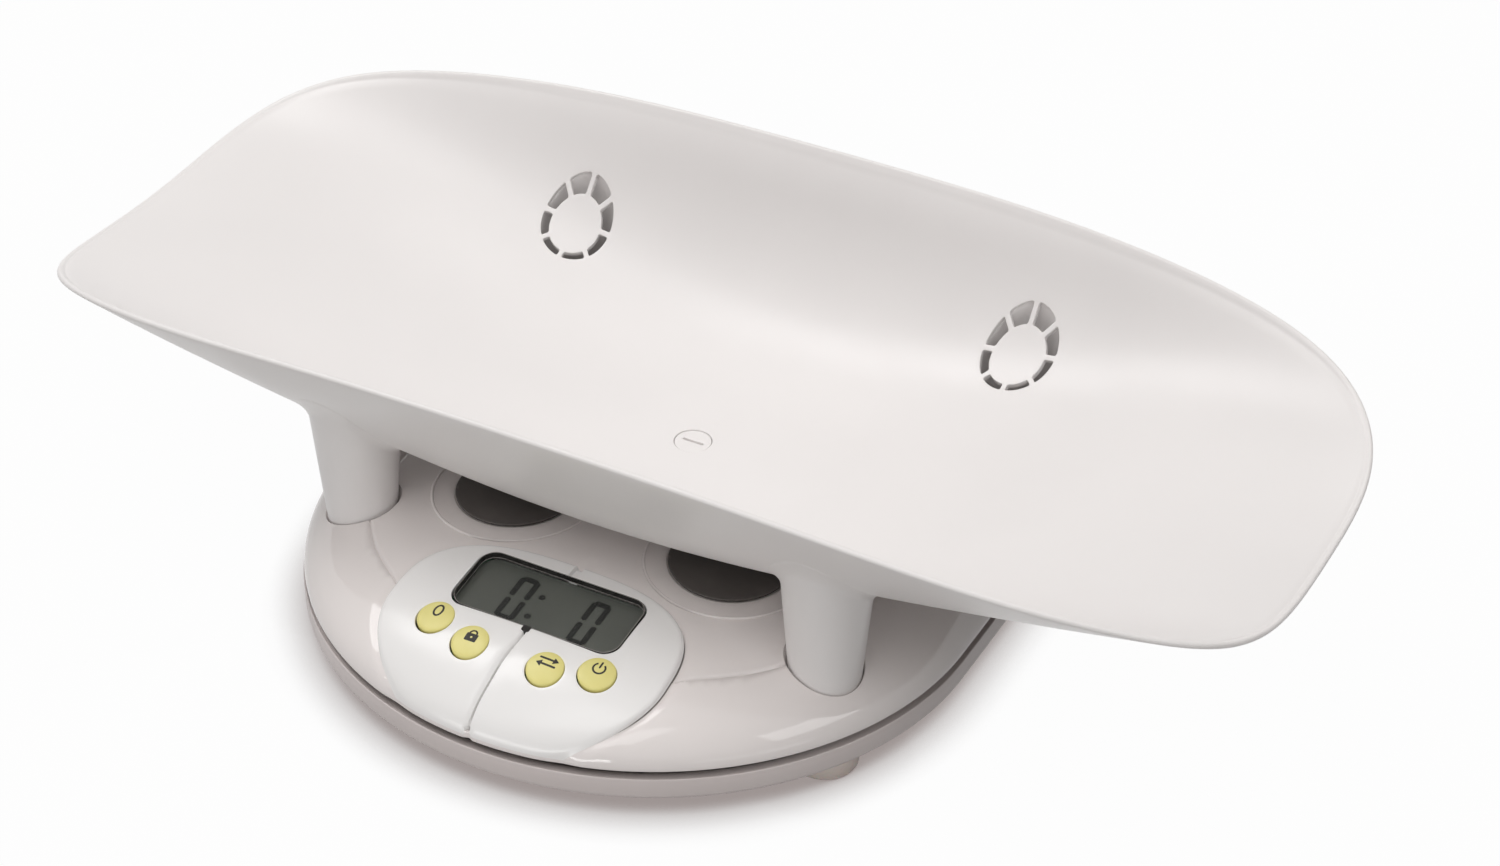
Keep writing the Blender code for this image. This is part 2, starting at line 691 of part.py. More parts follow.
def top_cover(material):
    """Domed platform with sockets, pad seats, panel seat and openings."""
    level = -COVER_WALL
    rings = [dome_ring(share, level) for share in COVER_RING_SHARES]
    rings += [dome_ring(share, 0.0) for share in reversed(COVER_RING_SHARES)]
    cover = loft("top_cover", rings)
    for side in (-1.0, 1.0):
        place = (side * PAD_X, 0.0)
        wide = stadium(PAD_RING_RADIUS + PAD_RING_WIDTH / 2.0, PAD_HALF_STRAIGHT, place)
        ring = slice_of_dome("ring", wide, -COVER_WALL / 2.0, PAD_RING_RISE)
        narrow = stadium(PAD_RING_RADIUS - PAD_RING_WIDTH / 2.0, PAD_HALF_STRAIGHT, place)
        cut(ring, prism("inside", narrow, 0.0, COVER_CROWN_HEIGHT + REACH))
        join(cover, ring)
        seat = stadium(PAD_RADIUS + GAP, PAD_HALF_STRAIGHT, place)
        cut(cover, slice_of_dome("seat", seat, -PAD_SEAT, None))
    near = 1.0 - 2.0 * LEG_FOOT_RADIUS / math.hypot(LEG_X, LEG_Y)
    socket_radius = leg_radius(dome_height(LEG_X * near, -LEG_Y * near)) + GAP
    for sx in (-1.0, 1.0):
        for sy in (-1.0, 1.0):
            spot = (sx * LEG_X, sy * LEG_Y)
            floor = LEG_FOOT_HEIGHT - GAP
            cup = drum("cup", socket_radius + SOCKET_WALL, floor - SOCKET_FLOOR,
                       COVER_CROWN_HEIGHT, ROUND_STEPS, spot)
            common(cup, dome("under", -COVER_WALL / 2.0))
            join(cover, cup)
            cut(cover, drum("socket", socket_radius, floor, COVER_CROWN_HEIGHT + REACH,
                            ROUND_STEPS, spot))
    middle = drum("middle", TRAY_BOSS_RADIUS + SOCKET_WALL, CUP_FOOT_HEIGHT,
                  COVER_CROWN_HEIGHT - COVER_WALL / 2.0)
    join(cover, middle)
    cut(cover, drum("recess", TRAY_BOSS_RADIUS + 2.0 * GAP, TRAY_BOSS_HEIGHT - GAP,
                    COVER_CROWN_HEIGHT + REACH))
    cut(cover, drum("insert_seat", INSERT_RADIUS + GAP, INSERT_FOOT_HEIGHT - GAP,
                    COVER_CROWN_HEIGHT))
    for sx in (-1.0, 1.0):
        for sy in (-1.0, 1.0):
            spot = post_place(sx, sy)
            post = drum("post", POST_RADIUS, FRAME_FOOT_HEIGHT + FRAME_THICKNESS + GAP,
                        COVER_CROWN_HEIGHT, SMALL_STEPS, spot)
            common(post, dome("under", -COVER_WALL / 2.0))
            join(cover, post)
            cut(cover, drum("bore", FRAME_SCREW_RADIUS + GAP, FRAME_FOOT_HEIGHT,
                            FRAME_FOOT_HEIGHT + FRAME_THICKNESS + FRAME_SCREW_GRIP + GAP,
                            SMALL_STEPS, spot))
    for side in (-1.0, 1.0):
        cut(cover, seam_cutter(side))
    cut(cover, slice_of_dome("panel_seat", panel_outline(GAP), -PANEL_SEAT - GAP, None,
                             PANEL_FOOT_HEIGHT - GAP))
    opening = prism("opening", round_box(WINDOW_HALF_WIDTH + GAP * 3.0, WINDOW_HALF_DEPTH + GAP * 3.0,
                                         WINDOW_CORNER), -REACH, REACH)
    cut(cover, tilted(opening))
    for x, y in BUTTON_PLACES.values():
        hole = drum("hole", STEM_RADIUS + GAP * 2.0, -REACH, REACH, SMALL_STEPS, (x, y))
        cut(cover, tilted(hole))
    for side in (-1.0, 1.0):
        spot = (side * BOARD_SCREW_X, BOARD_SCREW_REACH)
        post = drum("post", BOARD_SCREW_HEAD_RADIUS, -BOARD_DEPTH + GAP, REACH / 2.0,
                    SMALL_STEPS, spot)
        common(tilted(post), dome("under", -PANEL_SEAT - COVER_WALL / 2.0))
        join(cover, post)
        bore = drum("bore", BOARD_SCREW_RADIUS + GAP, -BOARD_DEPTH - SINK,
                    -BOARD_DEPTH + BOARD_SCREW_LENGTH - BOARD_THICKNESS, SMALL_STEPS, spot)
        cut(cover, tilted(bore))
    return paint(cover, material)


def standing_pad(name, side, material):
    """Dark pad for the feet of a standing child."""
    outline = stadium(PAD_RADIUS, PAD_HALF_STRAIGHT, (side * PAD_X, 0.0))
    pad = slice_of_dome(name, outline, -PAD_SEAT + GAP, PAD_RISE)
    return paint(pad, material)


def control_panel(material):
    """Raised oval with a groove along its middle, a window and four button holes."""
    panel = slice_of_dome("control_panel", panel_outline(0.0), -PANEL_SEAT, PANEL_RISE,
                          PANEL_FOOT_HEIGHT)
    half = GROOVE_WIDTH / 2.0
    ends = PANEL_HALF_WIDTH
    strip = [(-half, PANEL_CENTRE_Y - ends), (half, PANEL_CENTRE_Y - ends),
             (half, PANEL_CENTRE_Y + ends), (-half, PANEL_CENTRE_Y + ends)]
    cut(panel, slice_of_dome("groove", strip, PANEL_RISE - GROOVE_DEPTH, None))
    opening = prism("opening", round_box(WINDOW_HALF_WIDTH, WINDOW_HALF_DEPTH, WINDOW_CORNER),
                    -REACH, REACH)
    cut(panel, tilted(opening))
    for x, y in BUTTON_PLACES.values():
        hole = drum("hole", BUTTON_RADIUS + GAP, -REACH / 2.0, REACH / 2.0, ROUND_STEPS, (x, y))
        cut(panel, tilted(hole))
    return paint(panel, material)


def display_bezel(material):
    """Dark frame that lines the window of the panel."""
    half_x = WINDOW_HALF_WIDTH - GAP
    half_y = WINDOW_HALF_DEPTH - GAP
    frame = prism("display_bezel", round_box(half_x, half_y, WINDOW_CORNER - GAP),
                  -BEZEL_TOP_DEPTH - BEZEL_THICKNESS, -BEZEL_TOP_DEPTH)
    inside = round_box(half_x - BEZEL_WALL, half_y - BEZEL_WALL, WINDOW_CORNER - GAP - BEZEL_WALL)
    cut(frame, prism("inside", inside, -REACH, REACH))
    return paint(tilted(frame), material)


def display_window(material):
    """Clear cover of the display."""
    plate = prism("display_window", round_box(WINDOW_HALF_WIDTH - GAP, WINDOW_HALF_DEPTH - GAP,
                                              WINDOW_CORNER - GAP),
                  -WINDOW_DEPTH - WINDOW_THICKNESS, -WINDOW_DEPTH)
    return paint(tilted(plate), material)


def display_module(material):
    """Liquid crystal display in its holder."""
    top = -WINDOW_DEPTH - WINDOW_THICKNESS - GAP
    plate = prism("display_module", round_box(WINDOW_HALF_WIDTH - GAP, WINDOW_HALF_DEPTH - GAP,
                                              WINDOW_CORNER - GAP), top - MODULE_THICKNESS, top)
    return paint(tilted(plate), material)


def control_board(material):
    """Circuit board under the display and the buttons."""
    half_y = (BOARD_REAR_REACH + BOARD_FRONT_REACH) / 2.0
    middle = (BOARD_REAR_REACH - BOARD_FRONT_REACH) / 2.0
    outline = round_box(BOARD_HALF_WIDTH, half_y, BOARD_CORNER, 4, (0.0, middle))
    plate = prism("control_board", outline, -BOARD_DEPTH - BOARD_THICKNESS, -BOARD_DEPTH)
    for side in (-1.0, 1.0):
        cut(plate, drum("hole", BOARD_SCREW_RADIUS + GAP, -REACH, REACH, SMALL_STEPS,
                        (side * BOARD_SCREW_X, BOARD_SCREW_REACH)))
    return paint(tilted(plate), material)


def board_screw(name, side, material):
    under = -BOARD_DEPTH - BOARD_THICKNESS - GAP
    spot = (side * BOARD_SCREW_X, BOARD_SCREW_REACH)
    screw = drum(name, BOARD_SCREW_HEAD_RADIUS, under - BOARD_SCREW_HEAD_THICKNESS, under,
                 SMALL_STEPS, spot)
    join(screw, drum("shaft", BOARD_SCREW_RADIUS, under - BOARD_SCREW_HEAD_THICKNESS / 2.0,
                     under + BOARD_SCREW_LENGTH, SMALL_STEPS, spot))
    return paint(tilted(screw), material)


def button(name, key, material):
    """Round cap that follows the panel surface, with a stem to its switch."""
    x, y = BUTTON_PLACES[key]
    cap = drum(name, BUTTON_RADIUS, -REACH / 4.0, REACH / 4.0, ROUND_STEPS, (x, y))
    common(tilted(cap), dome("upper", PANEL_RISE + BUTTON_RISE))
    cut(cap, dome("under", PANEL_RISE + BUTTON_RISE - BUTTON_SEAT))
    soften(cap, BUTTON_EDGE_ROUND)
    middle = stack_place(x, y)
    surface = dome_height(middle.x, middle.y, PANEL_RISE) - middle.z
    tip = -BOARD_DEPTH + SWITCH_HEIGHT + PLUNGER_RISE + GAP
    stem = drum("stem", STEM_RADIUS, tip, surface, SMALL_STEPS, (x, y))
    join(cap, tilted(stem))
    return paint(set_origin(cap, stack_place(x, y, surface)), material)


def switch(name, key, material):
    """Body of a push switch on the board, with a well for its plunger."""
    x, y = BUTTON_PLACES[key]
    low = -BOARD_DEPTH + GAP
    high = low + SWITCH_HEIGHT - GAP
    body = prism(name, round_box(SWITCH_HALF_WIDTH, SWITCH_HALF_WIDTH, GAP * 2.0, 1, (x, y)),
                 low, high)
    cut(body, drum("well", PLUNGER_RADIUS + GAP, high - PLUNGER_WELL, high + REACH,
                   SMALL_STEPS, (x, y)))
    return paint(tilted(body), material)


def plunger(name, key, material):
    """Plunger of a switch, which goes down with its button."""
    x, y = BUTTON_PLACES[key]
    high = -BOARD_DEPTH + SWITCH_HEIGHT + PLUNGER_RISE
    low = -BOARD_DEPTH + SWITCH_HEIGHT - PLUNGER_WELL + BUTTON_TRAVEL + GAP
    pin = drum(name, PLUNGER_RADIUS, low, high, SMALL_STEPS, (x, y))
    return paint(tilted(pin), material)


# Weighing parts

def weighing_frame(material):
    """Steel plate that carries the platform cover on the load cell."""
    low = FRAME_FOOT_HEIGHT
    high = low + FRAME_THICKNESS
    plate = prism("weighing_frame", round_box(FRAME_HALF_LENGTH, FRAME_HALF_WIDTH, FRAME_CORNER),
                  low, high)
    window_x = FRAME_HALF_LENGTH - FRAME_RAIL - FRAME_WINDOW_LENGTH / 2.0
    cut(plate, prism("window", round_box(FRAME_WINDOW_LENGTH / 2.0, FRAME_HALF_WIDTH - FRAME_SIDE_RAIL,
                                         FRAME_CORNER / 2.0, 3, (-window_x, 0.0)),
                     low - SINK, high + SINK))
    for sx in (-1.0, 1.0):
        for sy in (-1.0, 1.0):
            cut(plate, drum("hole", FRAME_SCREW_RADIUS + GAP, low - SINK, high + SINK,
                            SMALL_STEPS, post_place(sx, sy)))
    for x in (CELL_SCREW_INNER_X, CELL_SCREW_OUTER_X):
        cut(plate, drum("hole", CELL_SCREW_RADIUS + GAP, low - SINK, high + SINK,
                        SMALL_STEPS, (x, 0.0)))
    return paint(plate, material)


def frame_screw(name, sx, sy, material):
    """Screw from below through the frame into a post of the cover."""
    spot = post_place(sx, sy)
    under = FRAME_FOOT_HEIGHT - GAP
    screw = drum(name, FRAME_SCREW_HEAD_RADIUS, under - FRAME_SCREW_HEAD_THICKNESS, under,
                 SMALL_STEPS, spot)
    join(screw, drum("shaft", FRAME_SCREW_RADIUS, under - FRAME_SCREW_HEAD_THICKNESS / 2.0,
                     FRAME_FOOT_HEIGHT + FRAME_THICKNESS + FRAME_SCREW_GRIP, SMALL_STEPS, spot))
    return paint(screw, material)


def load_cell(material):
    """Bending beam with a double round hole through its middle."""
    low = CELL_FOOT_HEIGHT
    high = low + CELL_HEIGHT
    bar = block("load_cell", (-CELL_HALF_LENGTH, -CELL_HALF_WIDTH, low),
                (CELL_HALF_LENGTH, CELL_HALF_WIDTH, high))
    soften(bar, CELL_EDGE_ROUND, 1)
    middle = (low + high) / 2.0
    across = Matrix.Translation((0.0, 0.0, middle)) @ Matrix.Rotation(math.pi / 2.0, 4, "X")
    for side in (-1.0, 1.0):
        hole = drum("hole", CELL_HOLE_RADIUS, -REACH, REACH, ROUND_STEPS,
                    (side * CELL_HOLE_SPREAD, 0.0))
        hole.data.transform(across)
        cut(bar, hole)
    link = CELL_HOLE_RADIUS / 3.0
    cut(bar, block("link", (-CELL_HOLE_SPREAD, -REACH, middle - link),
                   (CELL_HOLE_SPREAD, REACH, middle + link)))
    for x in (CELL_SCREW_INNER_X, CELL_SCREW_OUTER_X):
        cut(bar, drum("hole", CELL_SCREW_RADIUS + GAP, high - CELL_SCREW_GRIP, high + SINK,
                      SMALL_STEPS, (x, 0.0)))
        cut(bar, drum("hole", CELL_SCREW_RADIUS + GAP, low - SINK, low + CELL_SCREW_GRIP,
                      SMALL_STEPS, (-x, 0.0)))
    return paint(bar, material)


def cell_spacer(name, side, low, high, material):
    """Plate between one end of the load cell and what it is screwed to."""
    middle = side * (CELL_SCREW_INNER_X + CELL_SCREW_OUTER_X) / 2.0
    plate = prism(name, round_box(SPACER_HALF_LENGTH, CELL_HALF_WIDTH, CELL_EDGE_ROUND * 2.0, 1,
                                  (middle, 0.0)), low, high)
    for x in (CELL_SCREW_INNER_X, CELL_SCREW_OUTER_X):
        cut(plate, drum("hole", CELL_SCREW_RADIUS + GAP, low - SINK, high + SINK,
                        SMALL_STEPS, (side * x, 0.0)))
    return paint(plate, material)


def cell_screw(name, x, head_low, head_high, tip, material):
    screw = drum(name, CELL_SCREW_HEAD_RADIUS, head_low, head_high, SMALL_STEPS, (x, 0.0))
    middle = (head_low + head_high) / 2.0
    join(screw, drum("shaft", CELL_SCREW_RADIUS, min(middle, tip), max(middle, tip),
                     SMALL_STEPS, (x, 0.0)))
    return paint(screw, material)


def lower_housing(material):
    """Shallow tray under the platform with a boss for the load cell and a battery bay."""
    low = LOWER_FOOT_HEIGHT
    floor = low + LOWER_WALL
    rings = [base_ring(share, -LOWER_FOOT_INSET, low) for share in LOWER_RING_SHARES]
    rings.append(base_ring(1.0, -LOWER_FOOT_INSET, low))
    rings.append(base_ring(1.0, LOWER_SIDE_REACH, low + LOWER_EDGE_RISE))
    rings.append(base_ring(1.0, LOWER_SIDE_REACH, LOWER_LEDGE_HEIGHT))
    rings.append(base_ring(1.0, -LOWER_LIP_INSET, LOWER_LEDGE_HEIGHT))
    rings.append(base_ring(1.0, -LOWER_LIP_INSET, LOWER_TOP_HEIGHT))
    rings.append(base_ring(1.0, -LOWER_LIP_INSET - LOWER_WALL, LOWER_TOP_HEIGHT))
    rings.append(base_ring(1.0, -LOWER_FOOT_INSET - LOWER_WALL, floor))
    rings += [base_ring(share, -LOWER_FOOT_INSET - LOWER_WALL, floor)
              for share in reversed(LOWER_RING_SHARES)]
    housing = loft("lower_housing", rings)
    middle = -(CELL_SCREW_INNER_X + CELL_SCREW_OUTER_X) / 2.0
    top = CELL_FOOT_HEIGHT - LOWER_WALL
    boss = prism("boss", round_box(CELL_BOSS_HALF_LENGTH, CELL_BOSS_HALF_WIDTH, LOWER_WALL, 2,
                                   (middle, 0.0)), low + LOWER_WALL / 2.0, top)
    join(housing, boss)
    for x in (CELL_SCREW_INNER_X, CELL_SCREW_OUTER_X):
        cut(housing, drum("hole", CELL_SCREW_RADIUS + GAP, low - SINK, top + SINK,
                          SMALL_STEPS, (-x, 0.0)))
        cut(housing, drum("sink", CELL_SCREW_HEAD_RADIUS + GAP, low - SINK,
                          low + CELL_SCREW_HEAD_THICKNESS * 0.75, SMALL_STEPS, (-x, 0.0)))
    for sx in (-1.0, 1.0):
        for y in (FOOT_FRONT_Y, FOOT_REAR_Y):
            cut(housing, drum("seat", FOOT_RADIUS + GAP, low - SINK, low + FOOT_SEAT,
                              ROUND_STEPS, (sx * FOOT_X, y)))
    half_x, half_y, shift = bay_size()
    ceiling = low + DOOR_THICKNESS + GAP + BATTERY_THICKNESS + BAY_SLACK
    spot = (shift, BATTERY_Y)
    outer = prism("bay", round_box(half_x + BAY_WALL, half_y + BAY_WALL, BAY_WALL, 2, spot),
                  low + LOWER_WALL / 2.0, ceiling + BAY_WALL)
    join(housing, outer)
    cut(housing, prism("bay_room", round_box(half_x, half_y, BAY_WALL / 2.0, 2, spot),
                       low - SINK, ceiling))
    return paint(housing, material)


def bay_size():
    """Half sizes of the battery bay and how far it is moved along X."""
    half_x = BATTERY_HALF_LENGTH + BAY_SNAP_ROOM / 2.0 + BAY_SLACK
    half_y = BATTERY_HALF_WIDTH + BAY_SLACK
    return half_x, half_y, BAY_SNAP_ROOM / 2.0


def battery_door(material):
    """Flap under the battery bay, hinged on its rear edge, with grip lines."""
    half_x, half_y, shift = bay_size()
    low = LOWER_FOOT_HEIGHT
    high = low + DOOR_THICKNESS
    flap = prism("battery_door", round_box(half_x - GAP, half_y - GAP, BAY_WALL / 2.0, 2,
                                           (shift, BATTERY_Y)), low, high)
    for index in range(3):
        y = BATTERY_Y - half_y / 2.0 + index * DOOR_GRIP_WIDTH * 2.0
        cut(flap, block("grip", (shift - DOOR_GRIP_LENGTH / 2.0, y, low - SINK),
                        (shift + DOOR_GRIP_LENGTH / 2.0, y + DOOR_GRIP_WIDTH,
                         low + DOOR_GRIP_DEPTH)))
    return paint(set_origin(flap, (shift, BATTERY_Y + half_y - GAP, low)), material)


def battery(material):
    low = LOWER_FOOT_HEIGHT + DOOR_THICKNESS + GAP
    cell = block("battery", (-BATTERY_HALF_LENGTH, BATTERY_Y - BATTERY_HALF_WIDTH, low),
                 (BATTERY_HALF_LENGTH, BATTERY_Y + BATTERY_HALF_WIDTH, low + BATTERY_THICKNESS))
    return paint(soften(cell, BATTERY_EDGE_ROUND), material)


def battery_snap(material):
    """Plate with two studs that clips on the end of the battery."""
    low = LOWER_FOOT_HEIGHT + DOOR_THICKNESS + GAP
    face = BATTERY_HALF_LENGTH + GAP
    near = face + SNAP_STUD_LENGTH
    plate = block("battery_snap", (near, BATTERY_Y - BATTERY_HALF_WIDTH, low + GAP),
                  (near + SNAP_THICKNESS, BATTERY_Y + BATTERY_HALF_WIDTH,
                   low + BATTERY_THICKNESS - GAP))
    middle = low + BATTERY_THICKNESS / 2.0
    along = (Matrix.Translation((near + SINK / 2.0, BATTERY_Y, middle))
             @ Matrix.Rotation(-math.pi / 2.0, 4, "Y"))
    for side in (-1.0, 1.0):
        stud = drum("stud", SNAP_STUD_RADIUS, 0.0, SNAP_STUD_LENGTH + SINK / 2.0, SMALL_STEPS,
                    (0.0, side * SNAP_STUD_SPREAD))
        stud.data.transform(along)
        join(plate, stud)
    return paint(plate, material)


def rubber_foot(name, sx, y, material):
    foot = drum(name, FOOT_RADIUS, 0.0, LOWER_FOOT_HEIGHT + FOOT_SEAT - GAP, ROUND_STEPS,
                (sx * FOOT_X, y))
    return paint(soften(foot, FOOT_EDGE_ROUND), material)


def lead(name, points, material):
    """Round lead along a smooth path."""
    curve = bpy.data.curves.new(name, "CURVE")
    curve.dimensions = "3D"
    curve.resolution_u = 5
    curve.bevel_depth = LEAD_RADIUS
    curve.bevel_resolution = LEAD_STEPS // 4
    curve.use_fill_caps = True
    path = curve.splines.new("BEZIER")
    path.bezier_points.add(len(points) - 1)
    for knot, place in zip(path.bezier_points, points):
        knot.co = place
        knot.handle_left_type = "AUTO"
        knot.handle_right_type = "AUTO"
    item = make_object(name + "_path", curve)
    graph = bpy.context.evaluated_depsgraph_get()
    mesh = bpy.data.meshes.new_from_object(item.evaluated_get(graph))
    work = bmesh.new()
    work.from_mesh(mesh)
    bmesh.ops.remove_doubles(work, verts=work.verts, dist=WELD_DISTANCE)
    tube = from_bmesh(name, work)
    tube.matrix_world = item.matrix_world.copy()
    bpy.data.objects.remove(item, do_unlink=True)
    return paint(tube, material)


def cell_lead(material):
    """Lead from the load cell to the board."""
    start_y = -CELL_HALF_WIDTH - LEAD_RADIUS - GAP
    height = CELL_FOOT_HEIGHT + CELL_HEIGHT / 2.0
    end = stack_place(-BOARD_HALF_WIDTH / 2.0, BOARD_REAR_REACH / 2.0,
                      -BOARD_DEPTH - BOARD_THICKNESS - LEAD_RADIUS - GAP)
    points = [(CELL_HOLE_SPREAD, start_y, height),
              (-CELL_HALF_LENGTH / 2.0, start_y * 1.6, height),
              (-CELL_HALF_LENGTH / 2.0, (start_y + end.y) / 2.0, height),
              tuple(end)]
    return lead("cell_lead", points, material)


def battery_lead(material):
    """Lead from the battery bay towards the board."""
    half_x, half_y, shift = bay_size()
    low = LOWER_FOOT_HEIGHT + LOWER_WALL + LEAD_RADIUS * 4.0
    start_x = shift + half_x + BAY_WALL + LEAD_RADIUS * 2.0
    end = stack_place(BOARD_HALF_WIDTH / 2.0, BOARD_REAR_REACH / 2.0,
                      -BOARD_DEPTH - BOARD_THICKNESS - LEAD_RADIUS - GAP)
    side_x = CELL_HALF_LENGTH + LEAD_RADIUS * 6.0
    points = [(start_x, BATTERY_Y, low),
              (side_x, BATTERY_Y / 2.0, low),
              (side_x, end.y / 2.0, low),
              (end.x, end.y * 0.85, (low + end.z) / 2.0),
              tuple(end)]
    return lead("battery_lead", points, material)


def build():
    shell_white = finish("shell_white", "E9E7E5", 0.32)
    cover_white = finish("cover_white", "E4E1DE", 0.28)
    panel_white = finish("panel_white", "F1F0EF", 0.14)
    pad_rubber = finish("pad_rubber", "2A2522", 0.75)
    key_yellow = finish("key_yellow", "E8DE8C", 0.38)
    bezel_black = finish("bezel_black", "1B1A19", 0.25)
    window_clear = finish("window_clear", "6E726E", 0.06)
    glass_grey = finish("glass_grey", "5A5C58", 0.2)
    board_green = finish("board_green", "2F6B45", 0.45)
    switch_black = finish("switch_black", "232325", 0.5)
    plunger_black = finish("plunger_black", "2E2C2A", 0.45)
    beam_metal = finish("beam_metal", "B9BBBD", 0.35, 1.0)
    frame_steel = finish("frame_steel", "A4A7AA", 0.42, 1.0)
    spacer_steel = finish("spacer_steel", "95989B", 0.4, 1.0)
    screw_steel = finish("screw_steel", "8E9194", 0.35, 1.0)
    insert_brass = finish("insert_brass", "C4A45A", 0.35, 1.0)
    lower_white = finish("lower_white", "DAD7D4", 0.35)
    door_white = finish("door_white", "D6D3D0", 0.4)
    foot_rubber = finish("foot_rubber", "D9D8D6", 0.6)
    battery_wrap = finish("battery_wrap", "3B4048", 0.35)
    snap_black = finish("snap_black", "26262A", 0.5)
    lead_grey = finish("lead_grey", "7C7D80", 0.6)
    lead_black = finish("lead_black", "2B2B2D", 0.55)

    tray(shell_white)
    tray_screw(shell_white)
    screw_insert(insert_brass)
    top_cover(cover_white)
    standing_pad("standing_pad_left", -1.0, pad_rubber)
    standing_pad("standing_pad_right", 1.0, pad_rubber)
    control_panel(panel_white)
    display_bezel(bezel_black)
    display_window(window_clear)
    display_module(glass_grey)
    control_board(board_green)
    board_screw("board_screw_left", -1.0, screw_steel)
    board_screw("board_screw_right", 1.0, screw_steel)
    for key in BUTTON_PLACES:
        button(key + "_button", key, key_yellow)
        switch(key + "_switch", key, switch_black)
        plunger(key + "_plunger", key, plunger_black)
    weighing_frame(frame_steel)
    for sx, x_name in ((-1.0, "left"), (1.0, "right")):
        for sy, y_name in ((-1.0, "front"), (1.0, "rear")):
            frame_screw("frame_screw_" + x_name + "_" + y_name, sx, sy, screw_steel)
    load_cell(beam_metal)
    cell_top = CELL_FOOT_HEIGHT + CELL_HEIGHT
    cell_spacer("upper_spacer", 1.0, cell_top + GAP, FRAME_FOOT_HEIGHT - GAP, spacer_steel)
    cell_spacer("lower_spacer", -1.0, CELL_FOOT_HEIGHT - LOWER_WALL + GAP,
                CELL_FOOT_HEIGHT - GAP, spacer_steel)
    head = CELL_SCREW_HEAD_THICKNESS
    above = FRAME_FOOT_HEIGHT + FRAME_THICKNESS + GAP
    under = LOWER_FOOT_HEIGHT + head * 0.75 - GAP
    for x, place in ((CELL_SCREW_INNER_X, "inner"), (CELL_SCREW_OUTER_X, "outer")):
        cell_screw("cell_screw_upper_" + place, x, above, above + head,
                   cell_top - CELL_SCREW_GRIP + GAP * 2.0, screw_steel)
        cell_screw("cell_screw_lower_" + place, -x, under - head, under,
                   CELL_FOOT_HEIGHT + CELL_SCREW_GRIP - GAP * 2.0, screw_steel)
    lower_housing(lower_white)
    battery_door(door_white)
    battery(battery_wrap)
    battery_snap(snap_black)
    for sx, x_name in ((-1.0, "left"), (1.0, "right")):
        rubber_foot("foot_" + x_name + "_front", sx, FOOT_FRONT_Y, foot_rubber)
        rubber_foot("foot_" + x_name + "_rear", sx, FOOT_REAR_Y, foot_rubber)
    cell_lead(lead_grey)
    battery_lead(lead_black)


def centre_on_floor():
    """Move everything along Y, so that the origin is on the floor under the middle."""
    bpy.context.view_layer.update()
    pieces = [item for item in bpy.context.scene.collection.objects if item.type == "MESH"]
    reach = [(item.matrix_world @ Vector(corner)).y for item in pieces for corner in item.bound_box]
    middle = (min(reach) + max(reach)) / 2.0
    for item in pieces:
        item.location.y -= middle


build()
centre_on_floor()
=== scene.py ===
import json
import math

import bmesh
import bpy
import numpy as np
from mathutils import Matrix, Vector
from mathutils.geometry import delaunay_2d_cdt
from mathutils.kdtree import KDTree


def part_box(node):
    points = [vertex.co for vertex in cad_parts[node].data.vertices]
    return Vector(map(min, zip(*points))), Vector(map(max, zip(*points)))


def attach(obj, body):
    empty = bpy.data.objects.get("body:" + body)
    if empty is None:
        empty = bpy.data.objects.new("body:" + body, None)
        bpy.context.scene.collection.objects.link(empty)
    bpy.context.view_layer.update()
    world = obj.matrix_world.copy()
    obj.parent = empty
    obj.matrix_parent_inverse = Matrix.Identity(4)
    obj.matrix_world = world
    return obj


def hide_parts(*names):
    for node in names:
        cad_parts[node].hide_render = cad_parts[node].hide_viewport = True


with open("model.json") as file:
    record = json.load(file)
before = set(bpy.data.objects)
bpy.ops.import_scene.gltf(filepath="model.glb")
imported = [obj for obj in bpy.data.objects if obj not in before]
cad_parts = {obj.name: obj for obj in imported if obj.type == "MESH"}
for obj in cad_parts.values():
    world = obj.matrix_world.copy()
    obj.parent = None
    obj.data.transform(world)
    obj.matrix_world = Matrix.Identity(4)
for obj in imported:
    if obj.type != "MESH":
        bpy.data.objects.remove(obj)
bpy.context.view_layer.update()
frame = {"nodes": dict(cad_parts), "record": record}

MM = 0.001
TRAY_LOW, TRAY_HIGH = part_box("tray")
SHIFT = (TRAY_LOW.y + TRAY_HIGH.y) / 2.0

# All sizes below are millimetres, drawn with the middle of the tray at x = 0 and y = 0.

# Tray
TRAY_HALF_LENGTH, TRAY_HALF_WIDTH, TRAY_SQUARE = 292.4, 131.0, 4.0
TRAY_FLOOR, TRAY_WALL, TRAY_LIP = 56.3, 2.8, 1.3
RIM_LINE, RIM_LINE_HALF, RIM_LINE_DEPTH = 1.6, 0.5, 0.32
END_RISE, END_FLARE = 80.4, -39.2
FLOOR_RISE, SIDE_RISE, SIDE_STEEPEN = 5.1, 57.3, 22.4
CORNER_START, CORNER_EASE, CORNER_TURN, CORNER_LIFT = 9.2, -101.7, 4.6, 72.1

# Legs and the slots over them
CORNERS = ((1, 1), (-1, 1), (-1, -1), (1, -1))
LEG_X, LEG_Y, LEG_STEPS = 114.6, 93.6, 72
LEG_FOOT, LEG_RADIUS, LEG_TAPER, LEG_WALL, LEG_FILLET = 33.0, 15.1, 0.083, 1.7, 4.5
SLOT_COUNT, SLOT_INNER, SLOT_OUTER, SLOT_SHIFT, SLOT_RIB, SLOT_EDGE = 8, 12.4, 17.2, 1.9, 2.3, 0.35

# Coin-slot screw and its boss
HEAD_RADIUS, HEAD_THICKNESS, SHAFT_RADIUS, SCREW_TIP = 8.3, 2.6, 3.0, 42.6
COIN_SLOT_LENGTH, COIN_SLOT_WIDTH = 10.5, 1.4
BOSS_RADIUS, BOSS_FOOT = 11.0, 47.2
GAP = 0.3

